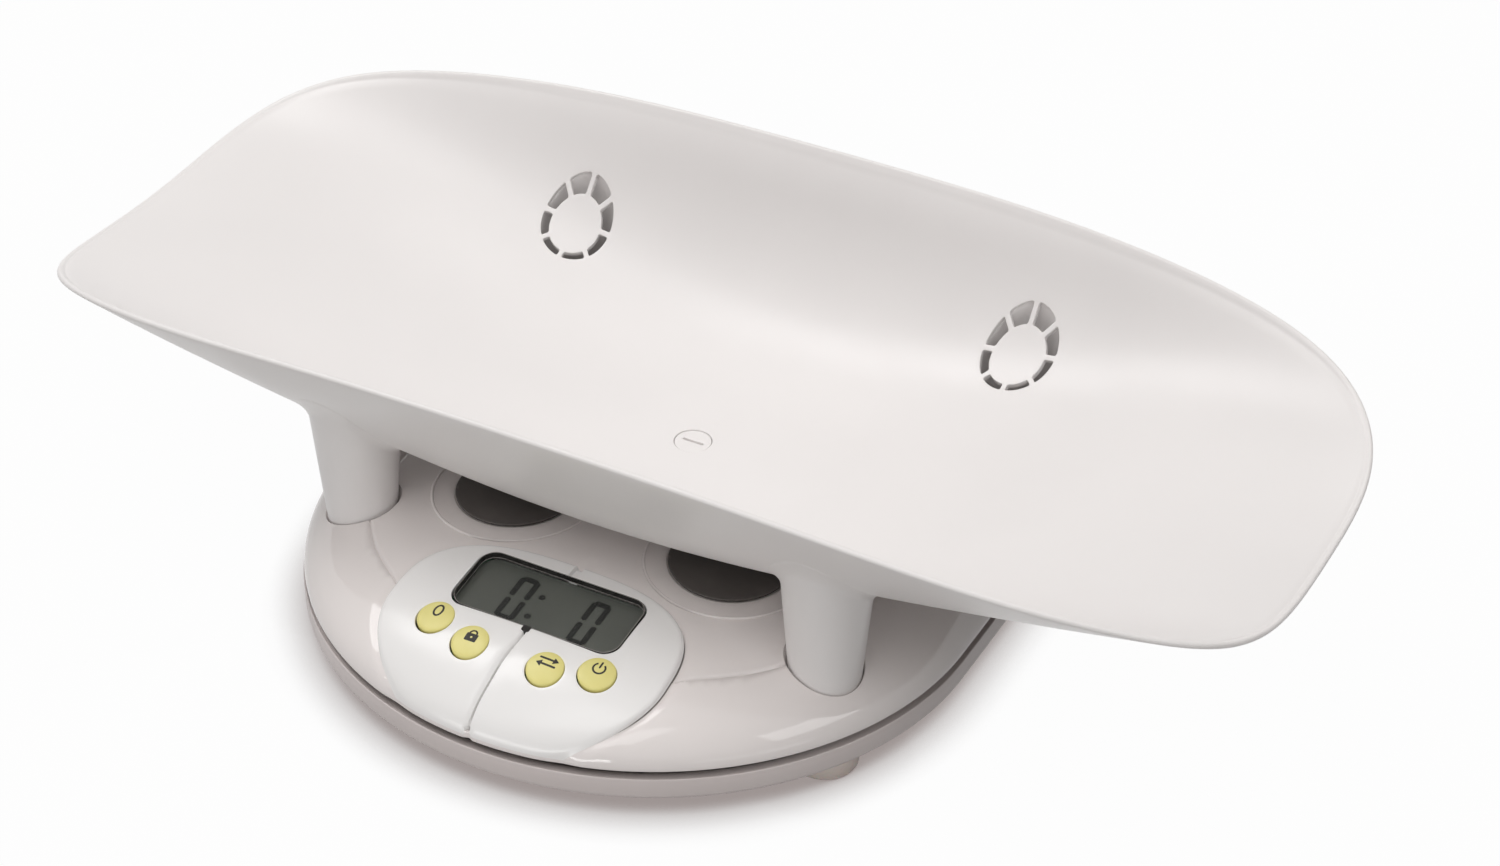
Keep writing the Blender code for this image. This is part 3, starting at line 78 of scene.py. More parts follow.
# Platform: middle, half width, depth of its rear and front half, and how square each is
PLATFORM_OVAL = -40.5, 153.0, 205.0, 147.5, 4.0, 2.0
BASE_Y, BASE_X, REAR_DEPTH, FRONT_DEPTH, REAR_POWER, FRONT_POWER = PLATFORM_OVAL
EDGE_HEIGHT, CROWN_HEIGHT, COVER_WALL = 21.9, 51.8, 3.0
SOCKET_GAP, SOCKET_DECK_GAP, SOCKET_WALL, SOCKET_FLOOR = 0.7, 0.6, 2.0, 2.5
PAD_X, PAD_RADIUS, PAD_STRAIGHT, PAD_RISE, PAD_SEAT = 53.3, 27.0, 62.8, 0.7, 0.9
PAD_LINE_WIDTH, PAD_LINE_DEPTH = 0.2, 0.12
RING_RADIUS, RING_WIDTH, RING_RISE, RING_SINK = 37.3, 1.3, 0.6, 0.12
# The crease round the deck: distance into the deck and level there
SEAM_PROFILE = ((-0.4, 0.0), (-0.15, -1.2), (0.15, -1.2), (0.4, -0.3), (2.2, -0.4), (2.6, -0.44))

# Control panel, its oval given like that of the platform
PANEL_OVAL = -144.0, 66.6, 45.0, 49.5, 2.8, 1.93
PANEL_RISE, PANEL_SEAT, PANEL_STOP = 2.2, 1.0, 0.998
PANEL_FADE_START, PANEL_FADE_LENGTH = -181.0, 26.0
PANEL_DIP_DEPTH, PANEL_DIP_WIDTH, HOLLOW_DEPTH, HOLLOW_WIDTH = 0.9, 3.4, 0.7, 1.7

# Groove of the panel: its middle and the width of its two sides at places along it
GROOVE_Y = (-187.5, -178.0, -170.0, -160.0, -146.0)
GROOVE_X = (-2.1, -1.8, -1.1, -0.6, 0.4)
GROOVE_LEFT = (2.4, 3.3, 3.5, 2.6, 1.6)
GROOVE_RIGHT = (3.0, 3.4, 4.4, 3.6, 2.0)
GROOVE_DEPTH, GROOVE_SLOT, GROOVE_SLOT_HALF, GROOVE_SLOT_EDGE, GROOVE_END = 1.8, 2.0, 0.6, 0.1, -141.0
NOTCH_X, NOTCH_HALF, NOTCH_EDGE, NOTCH_DEPTH, NOTCH_FRONT, NOTCH_REAR = 1.2, 2.1, 0.3, 2.1, -107.5, -95.0

# Display and keys, drawn flat and then tilted
STACK_Y, STACK_Z, STACK_TILT = -124.5, 51.9, math.radians(8.0)
WINDOW_X, WINDOW_Y, WINDOW_CORNER, FRAME_STEPS = 40.4, 17.2, 8.0, 220
WINDOW_DEPTH, WINDOW_THICKNESS = 3.4, 1.2
GLASS_TOP = -WINDOW_DEPTH - WINDOW_THICKNESS - GAP
DIGIT_SPANS, DIGIT_Y, DIGIT_HALF, BAR_WIDTH, BAR_INSET = ((-20.2, -11.1), (14.9, 23.5)), -0.5, 12.5, 2.7, 0.95
COLON_SPOTS, COLON_LENGTH, COLON_WIDTH = [(-6.4, 4.4), (-6.4, -7.6)], 3.3, 2.8
UPRIGHT_BAR, ACROSS_BAR, INK_THICKNESS = 11.3, 7.6, 0.08
KEYS = {"zero": (-39.0, -27.2), "hold": (-18.1, -33.7), "unit": (18.1, -33.7), "power": (39.0, -27.2)}
KEY_RADIUS, KEY_RISE, KEY_DEPTH, STEM_RADIUS, STEM_FOOT = 8.1, 1.0, 3.4, 2.2, -6.4
KEY_TOP = ((0.0, 0.0), (2.2, 0.01), (4.2, 0.05), (5.8, 0.13), (6.8, 0.22), (7.4, 0.34), (7.8, 0.52),
           (8.02, 0.75), (KEY_RADIUS, 1.05))
KEY_STEPS, SIGN_SIZE, SIGN_HALF_THICKNESS = 64, 1.3, 0.05

# Lower housing, battery bay and feet
HOUSING_FOOT, HOUSING_LEDGE, HOUSING_WALL, HOUSING_INNER = 8.0, 19.1, 2.5, -24.6
BAY_X, BAY_Y, BAY_PLACE, DOOR_TOP, BATTERY_HEIGHT, BAY_AIR = 29.3, 14.7, (3.5, 96.0), 2.2, 17.5, 1.5
CELL_SCREWS = (40.0, 55.0)
FOOT_X, FOOT_FRONT_Y, FOOT_REAR_Y, FOOT_RADIUS = 120.56, -104.22, 99.93, 14.4


# Helpers for materials

def paint_colour(code):
    """Turn an sRGB hex colour into the linear values that Blender uses."""
    parts = [int(code[i:i + 2], 16) / 255.0 for i in (0, 2, 4)]
    return (*[p / 12.92 if p <= 0.04045 else ((p + 0.055) / 1.055) ** 2.4 for p in parts], 1.0)


def add(tree, kind, settings=None, sockets=None):
    """Add a node with its settings; a socket gets a value or a link from another node's output."""
    node = tree.nodes.new(kind)
    for key, value in (settings or {}).items():
        setattr(node, key, value)
    for key, value in (sockets or {}).items():
        if isinstance(value, bpy.types.NodeSocket):
            tree.links.new(value, node.inputs[key])
        else:
            node.inputs[key].default_value = value
    return node


def per_mm(size):
    """Noise scale for features of a size in millimetres, as Object coordinates are metres."""
    return 1.0 / (size * MM)


def mottle(tree, place, size, light, dark, detail=2.0):
    """Two near colours that drift into each other over a size in millimetres."""
    cloud = add(tree, "ShaderNodeTexNoise", None,
                {"Vector": place, "Scale": per_mm(size), "Detail": detail, "Roughness": 0.5})
    ramp = add(tree, "ShaderNodeValToRGB", None, {"Fac": cloud.outputs["Fac"]})
    for stop, (position, colour) in zip(ramp.color_ramp.elements, ((0.3, dark), (0.7, light))):
        stop.position = position
        stop.color = paint_colour(colour)
    return ramp.outputs["Color"]


def vary(tree, place, size, low, high):
    """A value that drifts between two limits over a size in millimetres."""
    cloud = add(tree, "ShaderNodeTexNoise", None,
                {"Vector": place, "Scale": per_mm(size), "Detail": 3.0, "Roughness": 0.55})
    spread = add(tree, "ShaderNodeMapRange", None,
                 {"Value": cloud.outputs["Fac"], "From Min": 0.3, "From Max": 0.7,
                  "To Min": low, "To Max": high})
    return spread.outputs["Result"]


def relief(tree, shader, height, strength, depth):
    """Fine relief of a depth in millimetres."""
    bump = add(tree, "ShaderNodeBump", None,
               {"Height": height, "Strength": strength, "Distance": depth * MM})
    tree.links.new(bump.outputs["Normal"], shader.inputs["Normal"])


def grained(tree, shader, place, size, strength, depth, detail=2.0, roughness=0.5):
    """Relief of an even grain whose size and depth are millimetres."""
    grain = add(tree, "ShaderNodeTexNoise", None,
                {"Vector": place, "Scale": per_mm(size), "Detail": detail, "Roughness": roughness})
    relief(tree, shader, grain.outputs["Fac"], strength, depth)


def finish(name, colour=None, sheen=None, metallic=0.0, ior=1.5):
    """A finish with its tree, shader and coordinates. Colour is a size in millimetres with a light
    and a dark colour, sheen is a size with the lowest and the highest roughness."""
    material = bpy.data.materials.new(name)
    material.use_nodes = True
    tree = material.node_tree
    shader = tree.nodes["Principled BSDF"]
    shader.inputs["Metallic"].default_value = metallic
    shader.inputs["IOR"].default_value = ior
    place = add(tree, "ShaderNodeTexCoord").outputs["Object"]
    if colour:
        tree.links.new(mottle(tree, place, *colour), shader.inputs["Base Color"])
    if sheen:
        tree.links.new(vary(tree, place, *sheen), shader.inputs["Roughness"])
    return material, tree, shader, place


def moulded_abs(name, light, dark, low, high, grain, depth):
    """Injection-moulded ABS: near-even colour with faint flow clouds, a sheen that drifts a
    little, and the fine grain that the mould leaves. The grain is drawn coarser than the real
    0.1 mm so that it shows."""
    material, tree, shader, place = finish(name, (110.0, light, dark), (35.0, low, high), ior=1.53)
    grained(tree, shader, place, grain, 0.25, depth, 2.0, 0.6)
    return material


def moulded_rubber(name, light, dark, roughness, pebble, depth, milk=0.0):
    """Moulded rubber: matt, with a pebbled skin and a trace of dust that makes it uneven. Milk
    lets light into a pale one."""
    material, tree, shader, place = finish(name, (22.0, light, dark, 5.0),
                                           (12.0, roughness - 0.07, roughness + 0.07), ior=1.52)
    skin = add(tree, "ShaderNodeTexVoronoi", {"feature": "SMOOTH_F1"},
               {"Vector": place, "Scale": per_mm(pebble), "Smoothness": 0.4})
    relief(tree, shader, skin.outputs["Distance"], 0.35, depth)
    if milk:
        shader.inputs["Subsurface Weight"].default_value = milk
        shader.inputs["Subsurface Scale"].default_value = 2.0 * MM
    return material


def key_plastic():
    """Pale yellow ABS key caps: a softer sheen than the panel, with a fine even grain."""
    material, tree, shader, place = finish("pale_yellow_key_abs", (9.0, "EFE694", "EAE08A"),
                                           (4.0, 0.36, 0.44), ior=1.53)
    grained(tree, shader, place, 0.3, 0.2, 0.01, 1.0)
    return material


def printed_ink(name, light, dark):
    """Printed ink: near black and matt, slightly uneven where the print lifted off."""
    return finish(name, (1.5, light, dark, 4.0), (0.8, 0.48, 0.62))[0]


def polished_black():
    """Glossy black ABS round the display, with hairline scratches."""
    material, tree, shader, place = finish("polished_black_abs", (15.0, "2A2826", "1D1B1A"), ior=1.53)
    drawn = add(tree, "ShaderNodeMapping", None, {"Vector": place, "Scale": (0.08, 1.0, 1.0)})
    tree.links.new(vary(tree, drawn.outputs["Vector"], 0.5, 0.14, 0.26), shader.inputs["Roughness"])
    return material


def clear_acrylic():
    """Clear acrylic window with a faint grey tint and wiping marks in its gloss."""
    material, tree, shader, place = finish("clear_acrylic", (30.0, "70746F", "676B67"),
                                           (6.0, 0.04, 0.1), ior=1.49)
    shader.inputs["Alpha"].default_value = 0.05
    shader.inputs["Specular IOR Level"].default_value = 0.25
    material.surface_render_method = "DITHERED"
    return material


def display_glass():
    """Liquid crystal glass over its grey green reflector, which is faintly speckled."""
    material, tree, shader, place = finish("liquid_crystal_glass", (45.0, "6A6D67", "5E615C", 6.0),
                                           (20.0, 0.1, 0.16), ior=1.52)
    grained(tree, shader, place, 0.25, 0.06, 0.01)
    return material


def solder_mask():
    """Green solder mask on a circuit board, lighter over the copper tracks that it covers."""
    material, tree, shader, place = finish("green_solder_mask", None, (7.0, 0.32, 0.46), ior=1.55)
    tracks = add(tree, "ShaderNodeTexBrick", {"offset": 0.35},
                 {"Vector": place, "Scale": per_mm(5.0), "Mortar Size": 0.05,
                  "Color1": paint_colour("1F5E3A"), "Color2": paint_colour("235F3E"),
                  "Mortar": paint_colour("3E8A5A")})
    tree.links.new(tracks.outputs["Color"], shader.inputs["Base Color"])
    relief(tree, shader, tracks.outputs["Fac"], 0.3, 0.04)
    return material


def worked_metal(name, light, dark, low, high, stretch, grain):
    """Bare metal with fine lines along the way it was milled, rolled or turned."""
    material, tree, shader, place = finish(name, (18.0, light, dark, 4.0), None, 1.0)
    lay = add(tree, "ShaderNodeMapping", None, {"Vector": place, "Scale": stretch}).outputs["Vector"]
    tree.links.new(vary(tree, lay, grain * 2.0, low, high), shader.inputs["Roughness"])
    grained(tree, shader, lay, grain, 0.3, 0.02, 4.0, 0.65)
    return material


def battery_jacket():
    """Lacquered steel jacket of a block battery: a dark body with a band at one end."""
    material, tree, shader, place = finish("lacquered_battery_jacket", None, (6.0, 0.25, 0.4), 0.35)
    parts = add(tree, "ShaderNodeSeparateXYZ", None, {"Vector": place})
    band = add(tree, "ShaderNodeMath", {"operation": "GREATER_THAN"},
               {0: parts.outputs["X"], 1: 11.0 * MM})
    mix = add(tree, "ShaderNodeMix", {"data_type": "RGBA"},
              {"Factor": band.outputs[0], 6: mottle(tree, place, 12.0, "3B4048", "33373F"),
               7: mottle(tree, place, 12.0, "A77B3C", "9C7134")})
    tree.links.new(mix.outputs[2], shader.inputs["Base Color"])
    return material


def seen_directly(tree):
    """1 for a ray from the camera, through glass or off a gloss, and 0 for one that only lights."""
    ray = add(tree, "ShaderNodeLightPath").outputs
    seen = ray["Is Camera Ray"]
    for other in ("Is Transmission Ray", "Is Glossy Ray"):
        seen = add(tree, "ShaderNodeMath", {"operation": "MAXIMUM"}, {0: seen, 1: ray[other]}).outputs[0]
    return seen


def studio_floor():
    """Matt white paper. Its own colour gives the white ground; where something stands close above
    it, a soft brown grey painted shadow darkens the colour that is seen."""
    material, tree, shader, place = finish("matt_white_paper_painted_shadow", (400.0, "9C9A98", "989694"), ior=1.45)
    shader.inputs["Roughness"].default_value = 0.9
    shader.inputs["Specular IOR Level"].default_value = 0.1
    # What is seen of the paper is a glow. Its colour is painted darker where ambient occlusion finds
    # something close above it: a painted contact shadow.
    near = add(tree, "ShaderNodeAmbientOcclusion", {"samples": 16}, {"Distance": 25.0 * MM})
    painted_contact_shadow = add(tree, "ShaderNodeValToRGB", None, {"Fac": near.outputs["AO"]})
    for stop, (position, colour) in zip(painted_contact_shadow.color_ramp.elements, ((0.31, "9F9694"), (0.91, "FFFFFF"))):
        stop.position = position
        stop.color = paint_colour(colour)
    # The glow takes the painted contact shadow as its colour.
    paper = add(tree, "ShaderNodeEmission", None, {"Color": painted_contact_shadow.outputs["Color"], "Strength": 1.0})
    part = add(tree, "ShaderNodeMath", {"operation": "MULTIPLY"}, {0: seen_directly(tree), 1: 0.98})
    mix = add(tree, "ShaderNodeMixShader", None,
              {0: part.outputs[0], 1: shader.outputs["BSDF"], 2: paper.outputs["Emission"]})
    tree.links.new(mix.outputs["Shader"], tree.nodes["Material Output"].inputs["Surface"])
    return material


# The finish of every slot of the record
FINISH = {
    "shell_white": moulded_abs("satin_white_abs", "F3F0EF", "EFECEB", 0.3, 0.38, 0.5, 0.012),
    "cover_white": moulded_abs("high_gloss_white_abs", "F3EDEB", "F0EAE8", 0.035, 0.055, 0.6, 0.004),
    "panel_white": moulded_abs("half_gloss_white_abs", "FAF9F8", "F7F6F5", 0.2, 0.26, 0.8, 0.004),
    "lower_white": moulded_abs("grained_white_abs", "DDD4D2", "D8CFCD", 0.34, 0.42, 0.5, 0.015),
    "door_white": moulded_abs("grained_white_abs_door", "D8D4D1", "D3CFCC", 0.38, 0.46, 0.5, 0.015),
    "switch_black": moulded_abs("black_switch_nylon", "2A2A2C", "232325", 0.42, 0.52, 0.3, 0.01),
    "plunger_black": moulded_abs("black_plunger_acetal", "33312F", "2C2A28", 0.36, 0.44, 0.3, 0.008),
    "snap_black": moulded_abs("black_snap_polypropylene", "2C2C30", "252529", 0.44, 0.54, 0.4, 0.012),
    "pad_rubber": moulded_rubber("dark_pad_rubber", "5B5653", "504B48", 0.62, 0.7, 0.04),
    "foot_rubber": moulded_rubber("pale_foot_silicone", "E6DAD3", "DDD1CA", 0.4, 0.9, 0.015, 0.2),
    "lead_grey": moulded_rubber("grey_pvc_jacket", "808184", "76777A", 0.5, 1.2, 0.01),
    "lead_black": moulded_rubber("black_pvc_jacket", "303032", "272729", 0.5, 1.2, 0.01),
    "key_yellow": key_plastic(),
    "bezel_black": polished_black(),
    "window_clear": clear_acrylic(),
    "glass_grey": display_glass(),
    "board_green": solder_mask(),
    "beam_metal": worked_metal("milled_aluminium", "C3C5C7", "B2B4B6", 0.28, 0.4, (0.05, 1.0, 1.0), 0.4),
    "frame_steel": worked_metal("zinc_plated_sheet", "ACAFB2", "9A9DA1", 0.34, 0.48, (0.15, 1.0, 1.0), 0.8),
    "spacer_steel": worked_metal("cut_steel_plate", "9C9FA2", "8B8E91", 0.34, 0.46, (1.0, 0.1, 1.0), 0.5),
    "screw_steel": worked_metal("zinc_plated_screw", "989B9E", "85888B", 0.28, 0.4, (1.0, 1.0, 0.3), 0.4),
    "insert_brass": worked_metal("turned_brass", "CDAE66", "B8974F", 0.26, 0.38, (1.0, 1.0, 4.0), 0.4),
    "battery_wrap": battery_jacket(),
}
KEY_INK = printed_ink("black_legend_ink", "2B2923", "201E1A")
DIGIT_BLACK = printed_ink("liquid_crystal_segment", "0D0E0C", "090A08")
# Light grey finish of thin lines on the black display frame: a painted highlight.
PAINTED_EDGE_HIGHLIGHT = moulded_abs("painted_edge_highlight", "A8A39E", "98938F", 0.16, 0.24, 0.3, 0.004)


# Helpers for objects and geometry trees

def new_object(name, points, edges=(), faces=()):
    """A mesh object in the scene from points in metres."""
    mesh = bpy.data.meshes.new(name)
    mesh.from_pydata(points, edges, faces)
    item = bpy.data.objects.new(name, mesh)
    bpy.context.scene.collection.objects.link(item)
    return item


def settle(item, body, slot, *nodes):
    """Let a finished piece ride on its body and stand for its solids."""
    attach(item, body)
    for node in nodes:
        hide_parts(node)


def make_piece(name, shape, body, slot, *nodes, material=None, crisp=None):
    """A piece from points in millimetres and faces, moved from the drawing to its place."""
    points, faces = shape
    place = np.array(points, float) * MM
    place[:, 1] += SHIFT
    item = new_object(name, place.tolist(), [], [tuple(int(i) for i in face) for face in faces])
    work = bmesh.new()
    work.from_mesh(item.data)
    if work.calc_volume(signed=True) < 0.0:
        bmesh.ops.reverse_faces(work, faces=work.faces)
    work.to_mesh(item.data)
    work.free()
    item.data.shade_smooth()
    if crisp:
        item.data.set_sharp_from_angle(angle=math.radians(crisp))
    item.data.materials.append(material or FINISH[slot])
    settle(item, body, slot, *nodes)


def new_tree(name, lengths=(), **others):
    """A geometry tree with named inputs; returns it with the sockets of its input node."""
    tree = bpy.data.node_groups.new(name, "GeometryNodeTree")
    tree.interface.new_socket("Geometry", in_out="OUTPUT", socket_type="NodeSocketGeometry")
    kinds = {"Geometry": "Geometry", **dict.fromkeys(lengths, "Float"), **others, "Finish": "Material"}
    for label, kind in kinds.items():
        tree.interface.new_socket(label, in_out="INPUT", socket_type="NodeSocket" + kind)
    return tree, add(tree, "NodeGroupInput").outputs


def end_tree(tree, shape, material):
    """Realize Instances and Set Material close every tree."""
    real = add(tree, "GeometryNodeRealizeInstances", None, {"Geometry": shape})
    dressed = add(tree, "GeometryNodeSetMaterial", None,
                  {"Geometry": real.outputs["Geometry"], "Material": material})
    add(tree, "NodeGroupOutput", None, {"Geometry": dressed.outputs["Geometry"]})
    return tree


def run_tree(item, tree, values):
    """Run a geometry tree with named inputs, lengths in millimetres, and keep the plain mesh."""
    step = item.modifiers.new(tree.name, "NODES")
    step.node_group = tree
    for socket in tree.interface.items_tree:
        if socket.in_out == "INPUT" and socket.name in values:
            value = values[socket.name]
            step[socket.identifier] = value * MM if isinstance(value, float) else value
    graph = bpy.context.evaluated_depsgraph_get()
    mesh = bpy.data.meshes.new_from_object(item.evaluated_get(graph))
    item.modifiers.clear()
    item.data = mesh
    return item


def part_tree():
    """A part set on every point of the mesh."""
    tree, given = new_tree("part on points", Part="Object")
    part = add(tree, "GeometryNodeObjectInfo", None, {"Object": given["Part"]})
    placed = add(tree, "GeometryNodeInstanceOnPoints", None,
                 {"Points": given["Geometry"], "Instance": part.outputs["Geometry"]})
    return end_tree(tree, placed.outputs["Instances"], given["Finish"])


def on_points(name, shape, spots, slot):
    """An object with a shape repeated at spots, all in millimetres."""
    points, faces = shape
    part = new_object("part", (np.array(points) * MM).tolist(), [], faces)
    item = new_object(name, (np.array(spots) * MM).tolist())
    run_tree(item, part_tree(), {"Part": part, "Finish": FINISH[slot]})
    bpy.data.objects.remove(part, do_unlink=True)
    return item


def taken(item):
    """Points in millimetres and faces of an object, which is then removed."""
    shape = (np.array([v.co for v in item.data.vertices]) / MM,
             [tuple(f.vertices) for f in item.data.polygons])
    bpy.data.objects.remove(item, do_unlink=True)
    return shape


# Helpers for lines

def turns(steps):
    return [2.0 * math.pi * i / steps for i in range(steps)]


def power_reach(turn, half_x, half_y, power):
    """From the middle to a rounded outline in one direction."""
    c = abs(math.cos(turn)) / half_x
    s = abs(math.sin(turn)) / half_y
    return (c ** power + s ** power) ** (-1.0 / power)


def even(points, spacing=None, count=None):
    """The same closed line with its points evenly apart."""
    points = np.array(points, float)
    closed = np.vstack([points, points[:1]])
    walk = np.concatenate([[0.0], np.cumsum(np.hypot(*np.diff(closed, axis=0).T))])
    count = count or max(8, int(round(walk[-1] / spacing)))
    stops = np.linspace(0.0, walk[-1], count, endpoint=False)
    return np.column_stack([np.interp(stops, walk, closed[:, 0]), np.interp(stops, walk, closed[:, 1])])


def circle(x, y, radius, spacing=None, steps=None):
    steps = steps or max(12, int(2.0 * math.pi * radius / spacing))
    return np.array([(x + radius * math.cos(a), y + radius * math.sin(a)) for a in turns(steps)])


def at(line, height):
    """The places of a line at a height."""
    return [(x, y, height) for x, y in line]


def oval(sizes, share=1.0, grow=0.0, steps=720):
    """An oval whose rear and front half differ, at a share of its size or grown all round."""
    middle, half_x, rear, front, rear_power, front_power = sizes
    points = []
    for a in turns(steps):
        depth, power = (rear, rear_power) if math.sin(a) > 0.0 else (front, front_power)
        reach = share * power_reach(a, half_x + grow, depth + grow, power)
        points.append((reach * math.cos(a), middle + reach * math.sin(a)))
    return points


def stadium(x, radius, straight, spacing):
    """Two half circles joined by straight sides along Y."""
    points = []
    for side in (1.0, -1.0):
        for i in range(25):
            turn = math.pi * i / 24 + (0.0 if side > 0 else math.pi)
            points.append((x + radius * math.cos(turn), side * straight + radius * math.sin(turn)))
    return even(points, spacing)


def round_box(half_x, half_y, corner, spacing):
    points = []
    for quarter, (sx, sy) in enumerate(CORNERS):
        for i in range(9):
            turn = math.pi / 2.0 * (quarter + i / 8)
            points.append((sx * (half_x - corner) + corner * math.cos(turn),
                           sy * (half_y - corner) + corner * math.sin(turn)))
    return even(points, spacing)


def outward(points):
    """Plan normals of a closed line that runs anticlockwise."""
    along = np.roll(points, -1, 0) - np.roll(points, 1, 0)
    normal = np.column_stack([along[:, 1], -along[:, 0]])
    return normal / np.maximum(np.hypot(*normal.T), 1e-9)[:, None]


def grown(points, distance, spacing=None):
    """A closed line moved outwards."""
    moved = points + outward(points) * distance
    return even(moved, spacing) if spacing else moved


def inside(points, outline):
    """Which points lie inside a closed outline."""
    x, y = points[:, 0], points[:, 1]
    result = np.zeros(len(points), bool)
    for (x0, y0), (x1, y1) in zip(outline, np.roll(outline, -1, 0)):
        if y0 != y1:
            across = (y0 > y) != (y1 > y)
            result ^= across & (x < (x1 - x0) * (y - y0) / (y1 - y0) + x0)
    return result


def line_distance(points, line):
    """Shortest distance from points to a closed line."""
    best = np.full(len(points), 1e9)
    for a, b in zip(line, np.roll(line, -1, 0)):
        along = b - a
        t = np.clip(((points - a) @ along) / max(along @ along, 1e-12), 0.0, 1.0)
        best = np.minimum(best, np.hypot(*(points - a - t[:, None] * along).T))
    return best


# Helpers for shapes, each a list of points and a list of faces

def joined(parts):
    """Several closed bodies of one piece as one shape."""
    points, faces = [], []
    for some_points, some_faces in parts:
        start = len(points)
        points += [tuple(p) for p in some_points]
        faces += [tuple(int(i) + start for i in face) for face in some_faces]
    return points, faces


def bands(rings, closed):
    """Points of rings and the faces between each ring and the next."""
    steps = len(rings[0])
    points = [tuple(p) for ring in rings for p in ring]
    faces = []
    for k in range(len(rings) if closed else len(rings) - 1):
        n = (k + 1) % len(rings)
        for i in range(steps):
            j = (i + 1) % steps
            faces.append((k * steps + i, k * steps + j, n * steps + j, n * steps + i))
    return points, faces


def tube(rings):
    """A hollow body through rings, the last joined to the first."""
    return bands(rings, True)


def capped(rings, first, last):
    """A body through rings that closes on a point at either end."""
    points, faces = bands(rings, False)
    steps, end, count = len(rings[0]), len(points) - len(rings[0]), len(points)
    for i in range(steps):
        j = (i + 1) % steps
        faces += [(j, i, count), (end + i, end + j, count + 1)]
    return points + [first, last], faces


def turned(profile, steps):
    """Rings of a round body about an upright line from its profile of (radius, height)."""
    return [at(circle(0.0, 0.0, radius, steps=steps), height) for radius, height in profile]


def lathe(profile, steps):
    """A round body about an upright line, closed below and above."""
    return capped(turned(profile, steps), (0.0, 0.0, profile[0][1]), (0.0, 0.0, profile[-1][1]))


def prism(outline, low, high):
    """An upright body on an outline, with one upper height or one for each point."""
    steps = len(outline)
    top = np.column_stack([outline, np.broadcast_to(high, steps)])
    points, faces = bands([at(outline, low), top], False)
    return points, faces + [tuple(range(steps))[::-1], tuple(range(steps, 2 * steps))]


def flat_sheet(rim, holes, guides, step, creases=()):
    """Points and triangles of a flat sheet that follow closed guides and open creases."""
    loops = [np.array(line) for line in [rim, *holes, *guides]]
    points, edges = [], []
    for line, is_loop in [(line, 1) for line in loops] + [(line, 0) for line in creases]:
        start = len(points)
        points += [tuple(p) for p in line]
        edges += [(start + i, start + (i + 1) % len(line)) for i in range(len(line) - 1 + is_loop)]
    tree = KDTree(len(points))
    for i, (x, y) in enumerate(points):
        tree.insert((x, y, 0.0), i)
    tree.balance()
    low, high = loops[0].min(0), loops[0].max(0)
    rows = np.arange(low[1], high[1], step * math.sqrt(0.75))
    lattice = np.array([(x, y) for n, y in enumerate(rows)
                        for x in np.arange(low[0] + (n % 2) * step / 2.0, high[0], step)])

    def solid(places):
        keep = inside(places, loops[0])
        for hole in holes:
            keep &= ~inside(places, np.array(hole))
        return keep

    lattice = lattice[solid(lattice)]
    lattice = [tuple(p) for p in lattice if tree.find((p[0], p[1], 0.0))[2] > 0.62 * step]
    done = delaunay_2d_cdt([Vector(p) for p in points + lattice], edges, [], 0, 1e-7)
    plan = np.array([tuple(v) for v in done[0]])
    faces = np.array([f for f in done[2] if len(f) == 3])
    faces = faces[solid(plan[faces].mean(axis=1))]
    a, b, c = plan[faces[:, 0]], plan[faces[:, 1]], plan[faces[:, 2]]
    area = (b[:, 0] - a[:, 0]) * (c[:, 1] - a[:, 1]) - (c[:, 0] - a[:, 0]) * (b[:, 1] - a[:, 1])
    faces[area < 0.0] = faces[area < 0.0][:, ::-1]
    faces = faces[np.abs(area) > 1e-9]
    used = np.unique(faces)
    number = np.zeros(len(plan), int)
    number[used] = np.arange(len(used))
    return plan[used], number[faces]


def close_wall(top, normal, bottom, faces, upper_round, lower_round, steps=3):
    """Close an upper and a lower sheet into one wall whose edges are rounded."""
    count = len(top)
    points = [*map(tuple, top), *map(tuple, bottom)]
    shell = [tuple(f) for f in faces] + [tuple(i + count for i in f[::-1]) for f in faces]
    used = {(f[i], f[(i + 1) % 3]) for f in faces.tolist() for i in range(3)}
    follow = {a: b for a, b in used if (b, a) not in used}
    while follow:
        loop = [next(iter(follow))]
        while follow.get(loop[-1]) is not None:
            nearby = follow.pop(loop[-1])
            if nearby == loop[0]:
                break
            loop.append(nearby)
        edge, up = top[loop], normal[loop]
        out = np.cross(np.roll(edge, -1, 0) - np.roll(edge, 1, 0), up)
        out /= np.linalg.norm(out, axis=1)[:, None]
        high = np.broadcast_to(upper_round, count)[loop][:, None]
        low = np.broadcast_to(lower_round, count)[loop][:, None]
        quarter = [math.pi / 2.0 * i / steps for i in range(steps + 1)]
        rings = [edge - high * up + high * (math.sin(a) * out + math.cos(a) * up) for a in quarter[1:]]
        rings += [bottom[loop] + low * up + low * (math.cos(a) * out - math.sin(a) * up)
                  for a in quarter[:-1]]
        row = list(loop)
        for ring in [*rings, None]:
            if ring is None:
                lower = [i + count for i in loop]
            else:
                lower = list(range(len(points), len(points) + len(ring)))
                points += [tuple(p) for p in ring]
            for i in range(len(loop)):
                j = (i + 1) % len(loop)
                shell.append((row[j], row[i], lower[i], lower[j]))
            row = lower
    return points, shell


def plate(plan, faces, high, low, upper_round, lower_round, steps):
    """A flat wall between two heights."""
    up = np.tile((0.0, 0.0, 1.0), (len(plan), 1))
    top, bottom = [np.column_stack([plan, np.full(len(plan), height)]) for height in (high, low)]
    return close_wall(top, up, bottom, faces, upper_round, lower_round, steps)


# Tray

